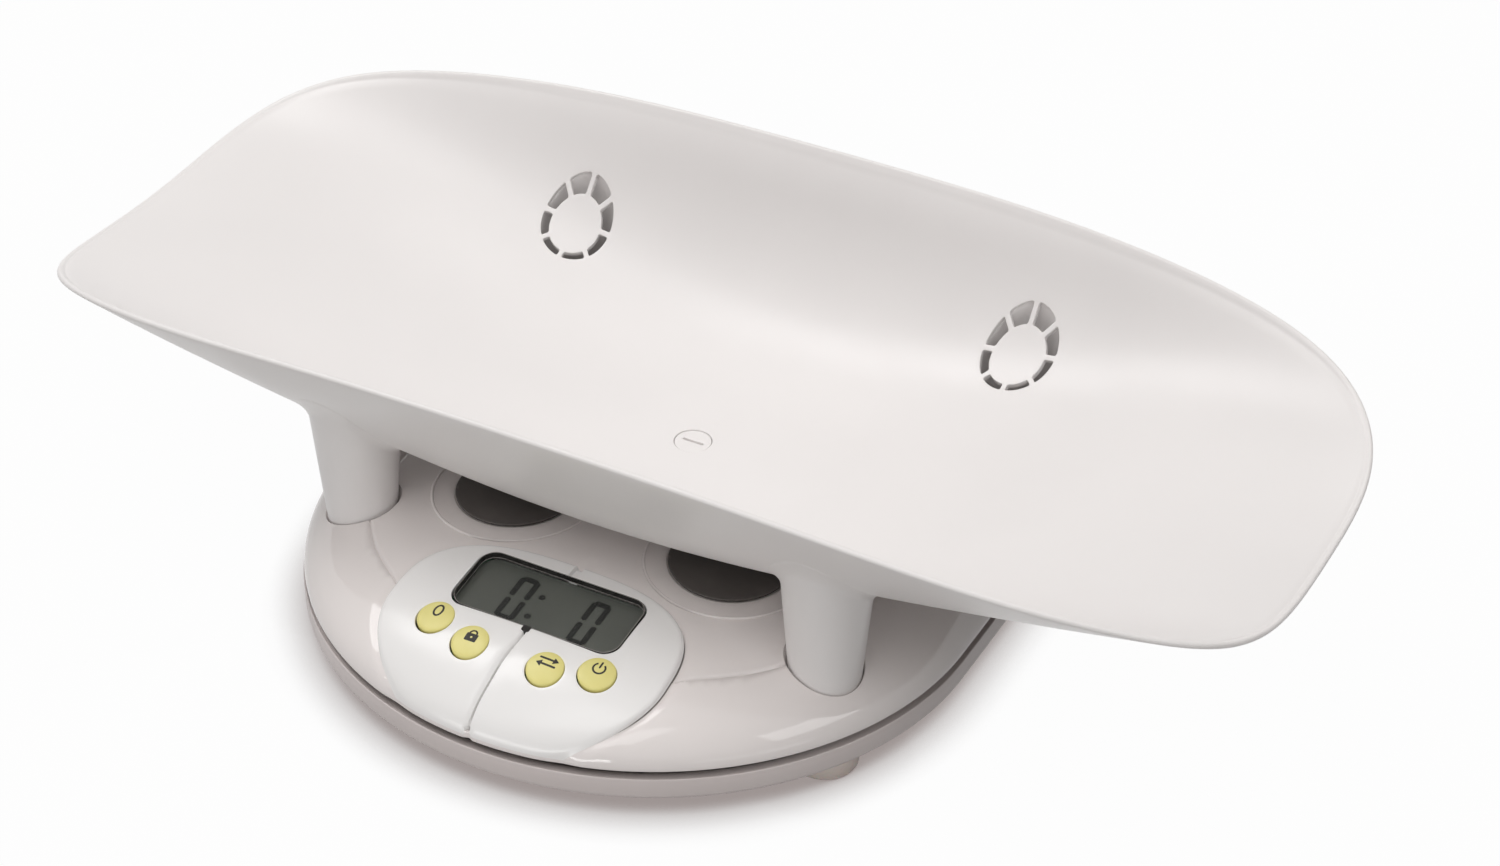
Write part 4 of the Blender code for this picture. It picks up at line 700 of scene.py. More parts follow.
def tray_height(x, y):
    u = (x / TRAY_HALF_LENGTH) ** 2
    w = (y / TRAY_HALF_WIDTH) ** 2
    along = (END_RISE + END_FLARE * u) * u
    across = (FLOOR_RISE + (SIDE_RISE + SIDE_STEEPEN * w) * w) * w
    cross = ((CORNER_START + CORNER_EASE * w) + (CORNER_TURN + CORNER_LIFT * w) * u) * u * w
    return TRAY_FLOOR + along + across + cross


def tray_normal(x, y):
    near = 0.05
    slope_x = (tray_height(x + near, y) - tray_height(x - near, y)) / (2.0 * near)
    slope_y = (tray_height(x, y + near) - tray_height(x, y - near)) / (2.0 * near)
    normal = np.stack([-slope_x, -slope_y, np.ones_like(slope_x)], axis=-1)
    return normal / np.linalg.norm(normal, axis=-1, keepdims=True)


CRADLE_SIZES = {"Half Length": TRAY_HALF_LENGTH, "Half Width": TRAY_HALF_WIDTH, "Floor": TRAY_FLOOR,
                "End Rise": END_RISE, "End Flare": END_FLARE, "Floor Rise": FLOOR_RISE,
                "Side Rise": SIDE_RISE, "Side Steepen": SIDE_STEEPEN, "Corner Start": CORNER_START,
                "Corner Ease": CORNER_EASE, "Corner Turn": CORNER_TURN, "Corner Lift": CORNER_LIFT}


def cradle_tree():
    """The rule of the cradle: a flat sheet rises to a long trough with flared ends."""
    tree, given = new_tree("cradle form", CRADLE_SIZES)
    spot = add(tree, "ShaderNodeSeparateXYZ", None,
               {"Vector": add(tree, "GeometryNodeInputPosition").outputs["Position"]}).outputs
    known = {"X": spot["X"], "Y": spot["Y"], **{label: given[label] for label in CRADLE_SIZES}}
    for result, operation, *parts in (
            ("x", "DIVIDE", "X", "Half Length"),
            ("y", "DIVIDE", "Y", "Half Width"),
            ("u", "MULTIPLY", "x", "x"),
            ("w", "MULTIPLY", "y", "y"),
            ("ends", "MULTIPLY_ADD", "End Flare", "u", "End Rise"),
            ("height", "MULTIPLY_ADD", "ends", "u", "Floor"),
            ("side", "MULTIPLY_ADD", "Side Steepen", "w", "Side Rise"),
            ("side", "MULTIPLY_ADD", "side", "w", "Floor Rise"),
            ("height", "MULTIPLY_ADD", "side", "w", "height"),
            ("inner", "MULTIPLY_ADD", "Corner Ease", "w", "Corner Start"),
            ("outer", "MULTIPLY_ADD", "Corner Lift", "w", "Corner Turn"),
            ("cross", "MULTIPLY_ADD", "outer", "u", "inner"),
            ("both", "MULTIPLY", "u", "w"),
            ("height", "MULTIPLY_ADD", "cross", "both", "height")):
        known[result] = add(tree, "ShaderNodeMath", {"operation": operation},
                            {i: known[part] for i, part in enumerate(parts)}).outputs[0]
    lift = add(tree, "ShaderNodeCombineXYZ", None, {"Z": known["height"]})
    moved = add(tree, "GeometryNodeSetPosition", None,
                {"Geometry": given["Geometry"], "Offset": lift.outputs["Vector"]})
    return end_tree(tree, moved.outputs["Geometry"], given["Finish"])


def over_leg(line, sx, sy):
    """A line drawn round the middle of a leg, moved to the leg at a corner."""
    return (np.array(line) + (LEG_X, LEG_Y)) * (sx, sy)


def slot_reach(turn):
    """Inner edge of the slots; their middle disc sits a little towards the middle of the tray."""
    return SLOT_INNER - SLOT_SHIFT * math.sin(turn)


def slot_outline(middle):
    """One slot round a leg, in plan from the leg's middle."""
    half = math.pi / SLOT_COUNT
    inner = slot_reach(middle)
    radius = (inner + SLOT_OUTER) / 2.0
    half_y = (SLOT_OUTER - inner) / 2.0 + SLOT_EDGE
    half_x = radius * half - SLOT_RIB / 2.0 + SLOT_EDGE
    points = []
    for s, r in round_box(half_x, half_y, 1.0, 0.75):
        spread = half - (SLOT_RIB / 2.0 - SLOT_EDGE) / (radius + r)
        turn = middle - s / half_x * spread
        reach = radius + r + (0.5 - 0.5 * r / half_y) * (slot_reach(turn) - inner)
        points.append((reach * math.cos(turn), reach * math.sin(turn)))
    return points


def leg_radius(height):
    return LEG_RADIUS + LEG_TAPER * (height - LEG_FOOT)


def leg(sx, sy):
    """One hollow leg that flows into the underside of the tray with a soft fillet."""
    def ring(radius, height):
        return at(over_leg(circle(0.0, 0.0, radius, steps=LEG_STEPS), sx, sy), height)

    def top_ring(extra, lower, shrink):
        points = []
        for a in turns(LEG_STEPS):
            radius = LEG_RADIUS + 4.0
            for _ in range(6):
                x = LEG_X + (radius + extra) * math.cos(a)
                y = LEG_Y + (radius + extra) * math.sin(a)
                under = tray_height(x, y) - TRAY_WALL / tray_normal(np.asarray(x), np.asarray(y))[2]
                height = float(under) - lower
                radius = leg_radius(height) - shrink
            points.append((sx * x, sy * y, height))
        return points

    rings = [ring(LEG_RADIUS - LEG_WALL + 0.3, LEG_FOOT), ring(LEG_RADIUS - 0.6, LEG_FOOT),
             ring(leg_radius(LEG_FOOT) - 0.18, LEG_FOOT + 0.18), ring(LEG_RADIUS, LEG_FOOT + 0.6)]
    rings += [ring(leg_radius(height), height) for height in (38.0, 44.0, 50.0, 56.0)]
    for degrees in range(0, 91, 15):
        turn = math.radians(degrees)
        rings.append(top_ring(LEG_FILLET * (1.0 - math.cos(turn)), LEG_FILLET * (1.0 - math.sin(turn)), 0.0))
    rings += [top_ring(LEG_FILLET, -0.6, 0.0), top_ring(0.0, -0.6, LEG_WALL), top_ring(0.0, 1.0, LEG_WALL)]
    rings += [ring(leg_radius(height) - LEG_WALL, height) for height in (56.0, 44.0, LEG_FOOT + 0.3)]
    points, faces = tube(rings)
    return points, (faces if sx * sy > 0 else [f[::-1] for f in faces])


def make_tray():
    """Cradle with a rounded lip and a fine line inside it, eight slots over each hollow leg
    and a seat for the screw."""
    rim = []
    for a in turns(720):
        turn = math.atan2(TRAY_HALF_WIDTH * math.sin(a), TRAY_HALF_LENGTH * math.cos(a))
        reach = power_reach(turn, TRAY_HALF_LENGTH, TRAY_HALF_WIDTH, TRAY_SQUARE)
        rim.append((reach * math.cos(turn), reach * math.sin(turn)))
    rim = grown(even(rim, 2.4), -TRAY_LIP)
    guides = [grown(rim, -RIM_LINE - aside, 2.4) for aside in (-RIM_LINE_HALF, 0.0, RIM_LINE_HALF)]
    guides.append(grown(rim, -5.2, 3.4))
    holes = []
    # Lines of points inside and round the slots and round the screw keep the triangles even there.
    disc = [((slot_reach(a) - 1.9) * math.cos(a), (slot_reach(a) - 1.9) * math.sin(a)) for a in turns(48)]
    for sx, sy in CORNERS:
        holes += [over_leg(slot_outline(2.0 * math.pi * (index + 0.5) / SLOT_COUNT), sx, sy)
                  for index in range(SLOT_COUNT)]
        guides += [circle(sx * LEG_X, sy * LEG_Y, 19.2, 1.7), circle(sx * LEG_X, sy * LEG_Y, 22.0, 2.6),
                   over_leg(disc, sx, sy)]
    holes.append(circle(0.0, 0.0, HEAD_RADIUS + GAP + SLOT_EDGE, 0.8))
    guides += [circle(0.0, 0.0, 10.4, 1.4), circle(0.0, 0.0, 13.2, 2.4)]
    plan, faces = flat_sheet(rim, holes, guides, 4.0)
    sheet = new_object("flat_sheet", [(x * MM, y * MM, 0.0) for x, y in plan], [], faces.tolist())
    top = taken(run_tree(sheet, cradle_tree(), {**CRADLE_SIZES, "Finish": FINISH["shell_white"]}))[0]
    normal = tray_normal(plan[:, 0], plan[:, 1])
    bottom = top - TRAY_WALL * normal
    line = np.clip(1.0 - np.abs(line_distance(plan, rim) - RIM_LINE) / RIM_LINE_HALF, 0.0, 1.0)
    top -= RIM_LINE_DEPTH * line[:, None] * normal
    reach = (np.abs(plan[:, 0]) / TRAY_HALF_LENGTH) ** 4 + (np.abs(plan[:, 1]) / TRAY_HALF_WIDTH) ** 4
    lip = np.where(reach > 0.9, TRAY_LIP, SLOT_EDGE)
    seat = TRAY_FLOOR - HEAD_THICKNESS - GAP
    inner = SHAFT_RADIUS + GAP
    boss = [(inner, BOSS_FOOT + 0.3), (inner + 0.3, BOSS_FOOT), (BOSS_RADIUS - 0.5, BOSS_FOOT),
            (BOSS_RADIUS, BOSS_FOOT + 0.5), (BOSS_RADIUS, seat - 1.8), (BOSS_RADIUS + 0.5, seat - 0.6),
            (BOSS_RADIUS + 1.6, seat - 0.1), (BOSS_RADIUS + 2.0, seat + 1.0),
            (HEAD_RADIUS + GAP + 0.3, seat + 1.0), (HEAD_RADIUS + GAP + 0.3, seat), (inner, seat)]
    make_piece("cradle_tray", joined([close_wall(top, normal, bottom, faces, lip, lip, 4),
                                      *[leg(sx, sy) for sx, sy in CORNERS], tube(turned(boss, 64))]),
               "tray", "shell_white", "tray")


def make_tray_screw():
    """Flush screw head with a short coin slot whose ends are round."""
    top = TRAY_FLOOR - GAP
    slot = round_box(COIN_SLOT_LENGTH / 2.0 + 0.25, COIN_SLOT_WIDTH / 2.0 + 0.25, 0.94, 0.35)
    plan, faces = flat_sheet(circle(0.0, 0.0, HEAD_RADIUS - 0.35, 0.9), [slot], [grown(slot, 1.0, 0.8)], 1.6)
    edge = np.where(np.hypot(*plan.T) > 7.0, 0.35, 0.25)
    # The underside of the head stands a hair off its seat.
    under = top - HEAD_THICKNESS + 0.02
    shaft = [(SHAFT_RADIUS - 0.6, SCREW_TIP), (SHAFT_RADIUS, SCREW_TIP + 0.6), (SHAFT_RADIUS, under),
             (HEAD_RADIUS - 0.4, under), (HEAD_RADIUS - 0.05, under + 0.28), (HEAD_RADIUS - 0.05, top - 1.4)]
    head = plate(plan, faces, top, top - 1.5, edge, 0.05, 3)
    make_piece("coin_slot_screw", joined([head, lathe(shaft, 64)]), "tray_screw", "shell_white", "tray_screw")


# Platform

def half_shape(away):
    """Depth and power of the half that a place is on."""
    rear = away > 0.0
    return np.where(rear, REAR_DEPTH, FRONT_DEPTH), np.where(rear, REAR_POWER, FRONT_POWER)


def share(x, y):
    """How far out a place is on the platform: 0 at its middle, 1 at its edge."""
    away = y - BASE_Y
    depth, power = half_shape(away)
    return ((np.abs(x) / BASE_X) ** power + (np.abs(away) / depth) ** power) ** (1.0 / power)


def dome(x, y):
    """Points and normals of the plain platform surface."""
    x, y = np.asarray(x, float), np.asarray(y, float)
    s = np.clip(share(x, y), 1e-6, 1.0)
    away = y - BASE_Y
    depth, power = half_shape(away)
    rise = CROWN_HEIGHT - EDGE_HEIGHT
    level = np.sqrt(np.maximum(0.0, 1.0 - s ** 4))
    slope_x = s ** (1.0 - power) * np.abs(x) ** (power - 1.0) * np.sign(x) / BASE_X ** power
    slope_y = s ** (1.0 - power) * np.abs(away) ** (power - 1.0) * np.sign(away) / depth ** power
    normal = np.stack([2.0 * rise * s ** 3 * slope_x, 2.0 * rise * s ** 3 * slope_y, level], axis=-1)
    normal /= np.linalg.norm(normal, axis=-1, keepdims=True)
    return np.stack([x, y, EDGE_HEIGHT + rise * level], axis=-1), normal


SHARES = np.concatenate([np.linspace(0.0, 0.9, 200), 1.0 - np.geomspace(0.1, 1e-9, 400), [1.0]])
WALKS = SHARES + 0.2 * (1.0 - np.sqrt(np.maximum(0.0, 1.0 - SHARES ** 4)))


def unroll(points):
    """Plan places laid out as if the curved edge of the platform were flattened."""
    points = np.array(points, float)
    s = np.maximum(share(points[:, 0], points[:, 1]), 1e-9)
    scale = np.interp(s, SHARES, WALKS) / s
    return np.column_stack([points[:, 0] * scale, (points[:, 1] - BASE_Y) * scale])


def roll(flat):
    """Back from the flattened layout to plan places."""
    walk = np.maximum(share(flat[:, 0], flat[:, 1] + BASE_Y), 1e-9)
    scale = np.interp(walk, WALKS, SHARES) / walk
    return np.column_stack([flat[:, 0] * scale, flat[:, 1] * scale + BASE_Y])


def held(line, stop):
    """Pull places past a share of the platform back to it."""
    pull = np.minimum(1.0, stop / share(line[:, 0], line[:, 1]))
    return np.column_stack([line[:, 0] * pull, BASE_Y + (line[:, 1] - BASE_Y) * pull])


def panel_fade(y):
    """The step round the panel is full at its rear and dies out at its front."""
    part = np.clip((y - PANEL_FADE_START) / PANEL_FADE_LENGTH, 0.0, 1.0)
    return part * part * (3.0 - 2.0 * part)


def panel_boundary(closed, open_gap, stop):
    """Outline of the panel on the platform, grown by a gap that is closed at the front."""
    line = even(held(even(oval(PANEL_OVAL, steps=360), 1.2), PANEL_STOP), 1.2)
    gap = closed + (open_gap - closed) * panel_fade(line[:, 1])
    return held(line + outward(line) * gap[:, None], stop)


def panel_hollow(plan):
    """Soft hollow along the panel's outline where its raised edge dies out."""
    away = line_distance(plan, even(oval(PANEL_OVAL, steps=360), 1.5))
    return -HOLLOW_DEPTH * np.exp(-(away / HOLLOW_WIDTH) ** 2) * (1.0 - panel_fade(plan[:, 1]))


def groove(x, y):
    """Valley along the panel: a rounded left side, a crease and a long gentle right side. It goes
    on behind the display as a short flat notch."""
    middle = x - np.interp(y, GROOVE_Y, GROOVE_X)
    left = np.clip(-middle / np.interp(y, GROOVE_Y, GROOVE_LEFT), 0.0, 1.0)
    right = np.clip(middle / np.interp(y, GROOVE_Y, GROOVE_RIGHT), 0.0, 1.0)
    depth = np.where(middle < 0.0, (1.0 - left) ** 1.5, np.interp(right, [0.0, 0.1, 1.0], [1.0, 0.3, 0.0]))
    depth += GROOVE_SLOT * np.clip(1.0 - (np.abs(middle) - GROOVE_SLOT_HALF) / GROOVE_SLOT_EDGE, 0.0, 1.0)
    notch = np.clip((NOTCH_HALF - np.abs(x - NOTCH_X)) / NOTCH_EDGE, 0.0, 1.0)
    behind = (y > NOTCH_FRONT) & (y < NOTCH_REAR)
    return np.where(y < GROOVE_END, -GROOVE_DEPTH * depth, np.where(behind, -NOTCH_DEPTH * notch, 0.0))


def groove_lines():
    """Creases of the groove and of the notch behind the display, in plan."""
    y = np.arange(-187.6, -141.2, 1.3)
    x, left, right = [np.interp(y, GROOVE_Y, row) for row in (GROOVE_X, GROOVE_LEFT, GROOVE_RIGHT)]
    lines = [np.column_stack([x - part * left, y]) for part in (1.0, 0.72, 0.45, 0.22)]
    slot = (GROOVE_SLOT_HALF, GROOVE_SLOT_HALF + GROOVE_SLOT_EDGE)
    lines += [np.column_stack([x + side * aside, y]) for side in (-1, 1) for aside in slot]
    lines += [np.column_stack([x + part * right, y]) for part in (0.5, 1.0)]
    y = np.arange(-106.0, -99.5, 0.8)
    notch = (NOTCH_HALF - NOTCH_EDGE, NOTCH_HALF)
    return lines + [np.column_stack([np.full(len(y), NOTCH_X + side * aside), y])
                    for side in (-1, 1) for aside in notch]


def deck_line():
    """Seam of the shallow recess between the leg sockets, with the pads in its middle."""
    half = [(0.0, -151.0), (40.0, -149.0), (54.0, -145.5), (67.8, -137.5), (81.0, -128.0), (90.3, -120.4),
            (97.5, -112.6), (103.0, -105.2), (LEG_X, -LEG_Y), (LEG_X, LEG_Y), (103.0, 105.2), (95.0, 115.5),
            (82.0, 126.0), (64.0, 135.0), (36.0, 141.5), (0.0, 143.5)]
    return even(half + [(-x, y) for x, y in half[-2:0:-1]], 1.6)


def socket_line(sx, sy, extra):
    """Edge of a leg socket, a hair wider than the leg and wider still towards the deck."""
    points = []
    for a in turns(120):
        radius = LEG_RADIUS + 1.0
        for _ in range(5):
            x = LEG_X + radius * math.cos(a)
            y = sy * LEG_Y + radius * math.sin(a)
            radius = leg_radius(float(dome(x, y)[0][2]))
        radius += SOCKET_GAP + SOCKET_DECK_GAP * max(0.0, -math.cos(a)) ** 2 + extra
        points.append((sx * (LEG_X + radius * math.cos(a)), sy * LEG_Y + radius * math.sin(a)))
    return even(points if sx > 0 else points[::-1], 1.0)


def socket(sx, sy):
    """Well of a leg socket with its floor."""
    x0, y0, floor = sx * LEG_X, sy * LEG_Y, LEG_FOOT - GAP
    under = floor - SOCKET_FLOOR
    rings = [[], [], [], []]
    for x, y in even(socket_line(sx, sy, 0.0), 1.6):
        height = float(dome(x, y)[0][2]) - COVER_WALL * 0.6
        dx, dy = x - x0, y - y0
        reach = math.hypot(dx, dy)
        wide, narrow = (reach + SOCKET_WALL) / reach, (LEG_RADIUS + 0.4) / reach
        for ring, scale, z in zip(rings, (wide, wide, 1.0, narrow), (under, height, height, floor)):
            ring.append((x0 + dx * scale, y0 + dy * scale, z))
    return capped(rings, (x0, y0, under), (x0, y0, floor))


def stretch(line, keep):
    """The part of a closed line that is kept, as an open line."""
    if keep.all():
        return np.vstack([line, line[:1]])
    start = int(np.argmax(~keep & np.roll(keep, -1))) + 1
    line, keep = np.roll(line, -start, 0), np.roll(keep, -start)
    return line[:int(np.argmin(keep))]


def make_platform():
    """Domed cover with leg sockets, a recessed deck, seats for the pads and an opening under
    the panel."""
    hole = unroll(panel_boundary(-0.35, 0.65, PANEL_STOP - 0.0002))
    holes = [hole] + [unroll(socket_line(sx, sy, 0.3)) for sx, sy in CORNERS]
    seam = deck_line()
    guides = [even(oval(PLATFORM_OVAL, s), 2.4) for s in (0.998, 0.993, 0.984, 0.97)]
    guides += [grown(seam, -into) for into, _ in SEAM_PROFILE]
    guides += [stadium(side * PAD_X, PAD_RADIUS + GAP + away, PAD_STRAIGHT, 1.6)
               for side in (-1.0, 1.0) for away in (0.0, PAD_LINE_WIDTH, 0.5)]
    creases = []
    for away in (0.9, 1.9, 3.2, 5.0):
        line = grown(hole, away, 1.6)
        creases.append(stretch(line, share(*roll(line).T) < 0.985))
    rim = unroll(even(oval(PLATFORM_OVAL, 0.9996), 2.4))
    flat, faces = flat_sheet(rim, holes, [unroll(line) for line in guides], 4.0, creases)
    plan = roll(flat)
    x, y = plan.T
    surface, normal = dome(x, y)
    into = line_distance(plan, seam) * np.where(inside(plan, seam), 1.0, -1.0)
    level = np.interp(into, *zip(*SEAM_PROFILE))
    for side in (-1.0, 1.0):
        away = np.hypot(x - side * PAD_X, np.maximum(np.abs(y) - PAD_STRAIGHT, 0.0)) - (PAD_RADIUS + GAP)
        level = np.where(away < 0.5 * PAD_LINE_WIDTH, -PAD_SEAT,
                         level - np.where(away < 1.5 * PAD_LINE_WIDTH, PAD_LINE_DEPTH, 0.0))
    near = line_distance(flat, hole)
    fade = panel_fade(y)
    level += panel_hollow(plan) - PANEL_DIP_DEPTH * np.exp(-(near / PANEL_DIP_WIDTH) ** 2) * fade
    level += np.where(near < 6.0, np.maximum(groove(x, y), -1.2), 0.0)
    level -= np.clip(1.2 - near, 0.0, 0.5) * 0.12 * (1.0 - fade)
    top = surface + level[:, None] * normal
    bottom = surface - COVER_WALL * normal
    # The lower edge ends a hair above the seam and has a shallow notch at the front.
    notch = np.clip((4.3 - np.abs(x - 0.8)) / 0.8, 0.0, 1.0) * (y < -150.0)
    bottom[:, 2] = np.maximum(bottom[:, 2], EDGE_HEIGHT + 0.02 + 0.9 * notch)
    edge = np.where(near < 0.2, 0.06 + 0.29 * fade, 0.15)
    make_piece("platform_cover", joined([close_wall(top, normal, bottom, faces, edge, 0.2),
                                         *[socket(sx, sy) for sx, sy in CORNERS]]),
               "platform", "cover_white", "top_cover")


def ring_tree():
    """A low rounded bead swept along a line that lies on the platform."""
    tree, given = new_tree("bead along a line", ("Width", "Rise"))
    path = add(tree, "GeometryNodeMeshToCurve", None, {"Mesh": given["Geometry"]})
    upright = add(tree, "GeometryNodeSetCurveNormal", {"mode": "Z_UP"}, {"Curve": path.outputs["Curve"]})
    half = add(tree, "ShaderNodeMath", {"operation": "MULTIPLY"}, {0: given["Width"], 1: 0.5})
    size = add(tree, "ShaderNodeCombineXYZ", None,
               {"X": half.outputs[0], "Y": given["Rise"], "Z": 1.0})
    round_one = add(tree, "GeometryNodeCurvePrimitiveCircle", None, {"Resolution": 12, "Radius": 1.0})
    flat = add(tree, "GeometryNodeTransform", None,
               {"Geometry": round_one.outputs["Curve"], "Scale": size.outputs["Vector"]})
    swept = add(tree, "GeometryNodeCurveToMesh", None,
                {"Curve": upright.outputs["Curve"], "Profile Curve": flat.outputs["Geometry"]})
    return end_tree(tree, swept.outputs["Mesh"], given["Finish"])


def make_pad_rings():
    """Thin light ridge round each standing pad."""
    points, edges = [], []
    for side in (-1.0, 1.0):
        line = stadium(side * PAD_X, RING_RADIUS, PAD_STRAIGHT, 2.0)
        surface, normal = dome(line[:, 0], line[:, 1])
        start = len(points)
        points += [(x * MM, y * MM + SHIFT, z * MM) for x, y, z in surface - RING_SINK * normal]
        edges += [(start + i, start + (i + 1) % len(line)) for i in range(len(line))]
    item = new_object("pad_rings", points, edges)
    run_tree(item, ring_tree(), {"Width": RING_WIDTH, "Rise": RING_RISE, "Finish": FINISH["cover_white"]})
    item.data.shade_smooth()
    settle(item, "platform", "cover_white")


def make_pad(side, name):
    """Dark rubber pad with a softly rounded edge."""
    edge, guide = [stadium(side * PAD_X, PAD_RADIUS - inset, PAD_STRAIGHT, spacing)
                   for inset, spacing in ((0.5, 1.5), (1.6, 2.0))]
    plan, faces = flat_sheet(edge, [], [guide], 4.0)
    surface, normal = dome(plan[:, 0], plan[:, 1])
    shape = close_wall(surface + PAD_RISE * normal, normal, surface - 0.6 * normal, faces, 0.5, 0.1, 4)
    make_piece(name + "_grip", shape, "platform", "pad_rubber", name)


# Control panel

def tilt(points):
    """From the flat drawing of display and keys to their tilted place."""
    points = np.array(points, float)
    c, s = math.cos(STACK_TILT), math.sin(STACK_TILT)
    return np.column_stack([points[:, 0], STACK_Y + c * points[:, 1] - s * points[:, 2],
                            STACK_Z + s * points[:, 1] + c * points[:, 2]])


def tilted(shape):
    """A shape of the flat drawing in its tilted place."""
    return tilt(shape[0]), shape[1]


def tilted_height(x, y, extra):
    """Height in the tilted drawing of the panel surface, raised by an extra."""
    x, y = np.asarray(x, float), np.asarray(y, float)
    z = np.zeros_like(x)
    for _ in range(6):
        spot = tilt(np.column_stack([x, y, z]))
        surface, normal = dome(spot[:, 0], spot[:, 1])
        want = surface[:, 2] + (PANEL_RISE * panel_fade(spot[:, 1]) + extra) / np.maximum(normal[:, 2], 0.2)
        z = z + (want - spot[:, 2])
    return z


def on_panel(line):
    """Plan places under a line of the tilted drawing."""
    return tilt(np.column_stack([line, tilted_height(line[:, 0], line[:, 1], 0.0)]))[:, :2]


def shoulder(away, fade):
    """Rounded edge of the panel, up from its outline; it grows wider towards the front."""
    part = np.clip(away / (2.2 + 2.6 * (1.0 - fade)), 0.0, 1.0)
    return PANEL_RISE * fade * np.sqrt(1.0 - (1.0 - part) ** 2)


def make_panel():
    """Half-gloss raised oval with the window, four key holes and the groove."""
    rim = unroll(panel_boundary(-0.02, -0.02, PANEL_STOP + 0.0008))
    window = on_panel(round_box(WINDOW_X + 0.4, WINDOW_Y + 0.4, WINDOW_CORNER, 1.1))
    holes, guides = [unroll(window)], [unroll(grown(window, 1.2, 1.6))]
    for x, y in KEYS.values():
        holes.append(unroll(on_panel(circle(x, y, KEY_RADIUS + GAP + 0.25, 0.9))))
        guides.append(unroll(on_panel(circle(x, y, KEY_RADIUS + GAP + 1.5, 1.4))))
    guides += [grown(rim, -inset, 1.5) for inset in (0.25, 0.7, 1.4, 2.3, 3.4, 4.9)]
    edge = roll(grown(rim, -0.5))
    creases = [unroll(line[inside(line, edge) & ~inside(line, window)]) for line in groove_lines()]
    flat, faces = flat_sheet(rim, holes, guides, 3.0, creases)
    plan = roll(flat)
    surface, normal = dome(plan[:, 0], plan[:, 1])
    away = line_distance(flat, rim)
    fade = panel_fade(plan[:, 1])
    hollow = groove(plan[:, 0], plan[:, 1])
    level = shoulder(away, fade) + panel_hollow(plan) + hollow
    edge = np.where(away < 0.2, 0.04 + 0.1 * fade, 0.25)
    shape = close_wall(surface + level[:, None] * normal, normal,
                       surface + (hollow - PANEL_SEAT)[:, None] * normal, faces, edge, 0.03, 4)
    make_piece("control_panel_shell", shape, "platform", "panel_white", "control_panel", crisp=50.0)


def make_key(key):
    """Round cap that follows the panel, with a rounded edge and a stem to its switch."""
    cx, cy = KEYS[key]
    rings = []
    for radius, drop in (*KEY_TOP[1:], (KEY_RADIUS, KEY_DEPTH - 0.4), (KEY_RADIUS - 0.4, KEY_DEPTH)):
        line = circle(cx, cy, radius, steps=KEY_STEPS)
        rings.append(np.column_stack([line, tilted_height(*line.T, KEY_RISE) - drop]))
    middle = float(tilted_height([cx], [cy], KEY_RISE)[0])
    for radius, z in ((STEM_RADIUS + 0.4, middle - KEY_DEPTH), (STEM_RADIUS, middle - KEY_DEPTH - 0.4),
                      (STEM_RADIUS, STEM_FOOT + 0.2), (STEM_RADIUS - 0.2, STEM_FOOT)):
        rings.append(at(circle(cx, cy, radius, steps=KEY_STEPS), z))
    make_piece(key + "_cap", tilted(capped(rings, (cx, cy, middle), (cx, cy, STEM_FOOT))),
               key + "_key", "key_yellow", key + "_button", crisp=60.0)


def arc_band(x, y, radius_x, radius_y, width, start, end):
    """A curved stroke between two directions in degrees."""
    angles = np.radians(np.linspace(start, end, 40))
    return np.array([(x + (radius_x + half) * math.cos(a), y + (radius_y + half) * math.sin(a))
                     for half, row in ((width / 2, angles), (-width / 2, angles[::-1])) for a in row])


def bar(x0, y0, x1, y1, width):
    """A straight stroke with round ends."""
    turn = math.atan2(y1 - y0, x1 - x0)
    return even([(x + width / 2.0 * math.cos(turn + a), y + width / 2.0 * math.sin(turn + a))
                 for x, y, start in ((x1, y1, -math.pi / 2.0), (x0, y0, math.pi / 2.0))
                 for a in np.linspace(start, start + math.pi, 7)], 0.35)


def arrow(y, way):
    return np.array([(way * 3.6, y), (way * 1.7, y + 1.25), (way * 1.7, y + 0.36), (-way * 3.3, y + 0.36),
                     (-way * 3.3, y - 0.36), (way * 1.7, y - 0.36), (way * 1.7, y - 1.25)])


def ellipse(x, y, a, b):
    return np.array([(x + a * math.cos(t), y + b * math.sin(t)) for t in turns(36)])


# Plain generic signs: a nought, a padlock, two opposite arrows and a power sign. Each stroke is an
# outline with its holes.
SIGNS = {
    "zero": [(ellipse(0.0, 2.0, 1.75, 2.5), [ellipse(0.0, 2.0, 1.05, 1.8)])],
    "hold": [(round_box(2.1, 1.5, 0.35, 0.3) + np.array((0.0, 0.9)), [ellipse(0.0, 0.95, 0.4, 0.4)]),
             (arc_band(0.0, 2.3, 1.25, 1.35, 0.6, 0.0, 180.0), [])],
    "unit": [(arrow(2.9, 1.0), []), (arrow(0.7, -1.0), [])],
    "power": [(arc_band(0.0, 1.6, 2.0, 2.0, 0.62, 125.0, 415.0), []), (bar(0.0, 1.9, 0.0, 4.1, 0.62), [])],
}


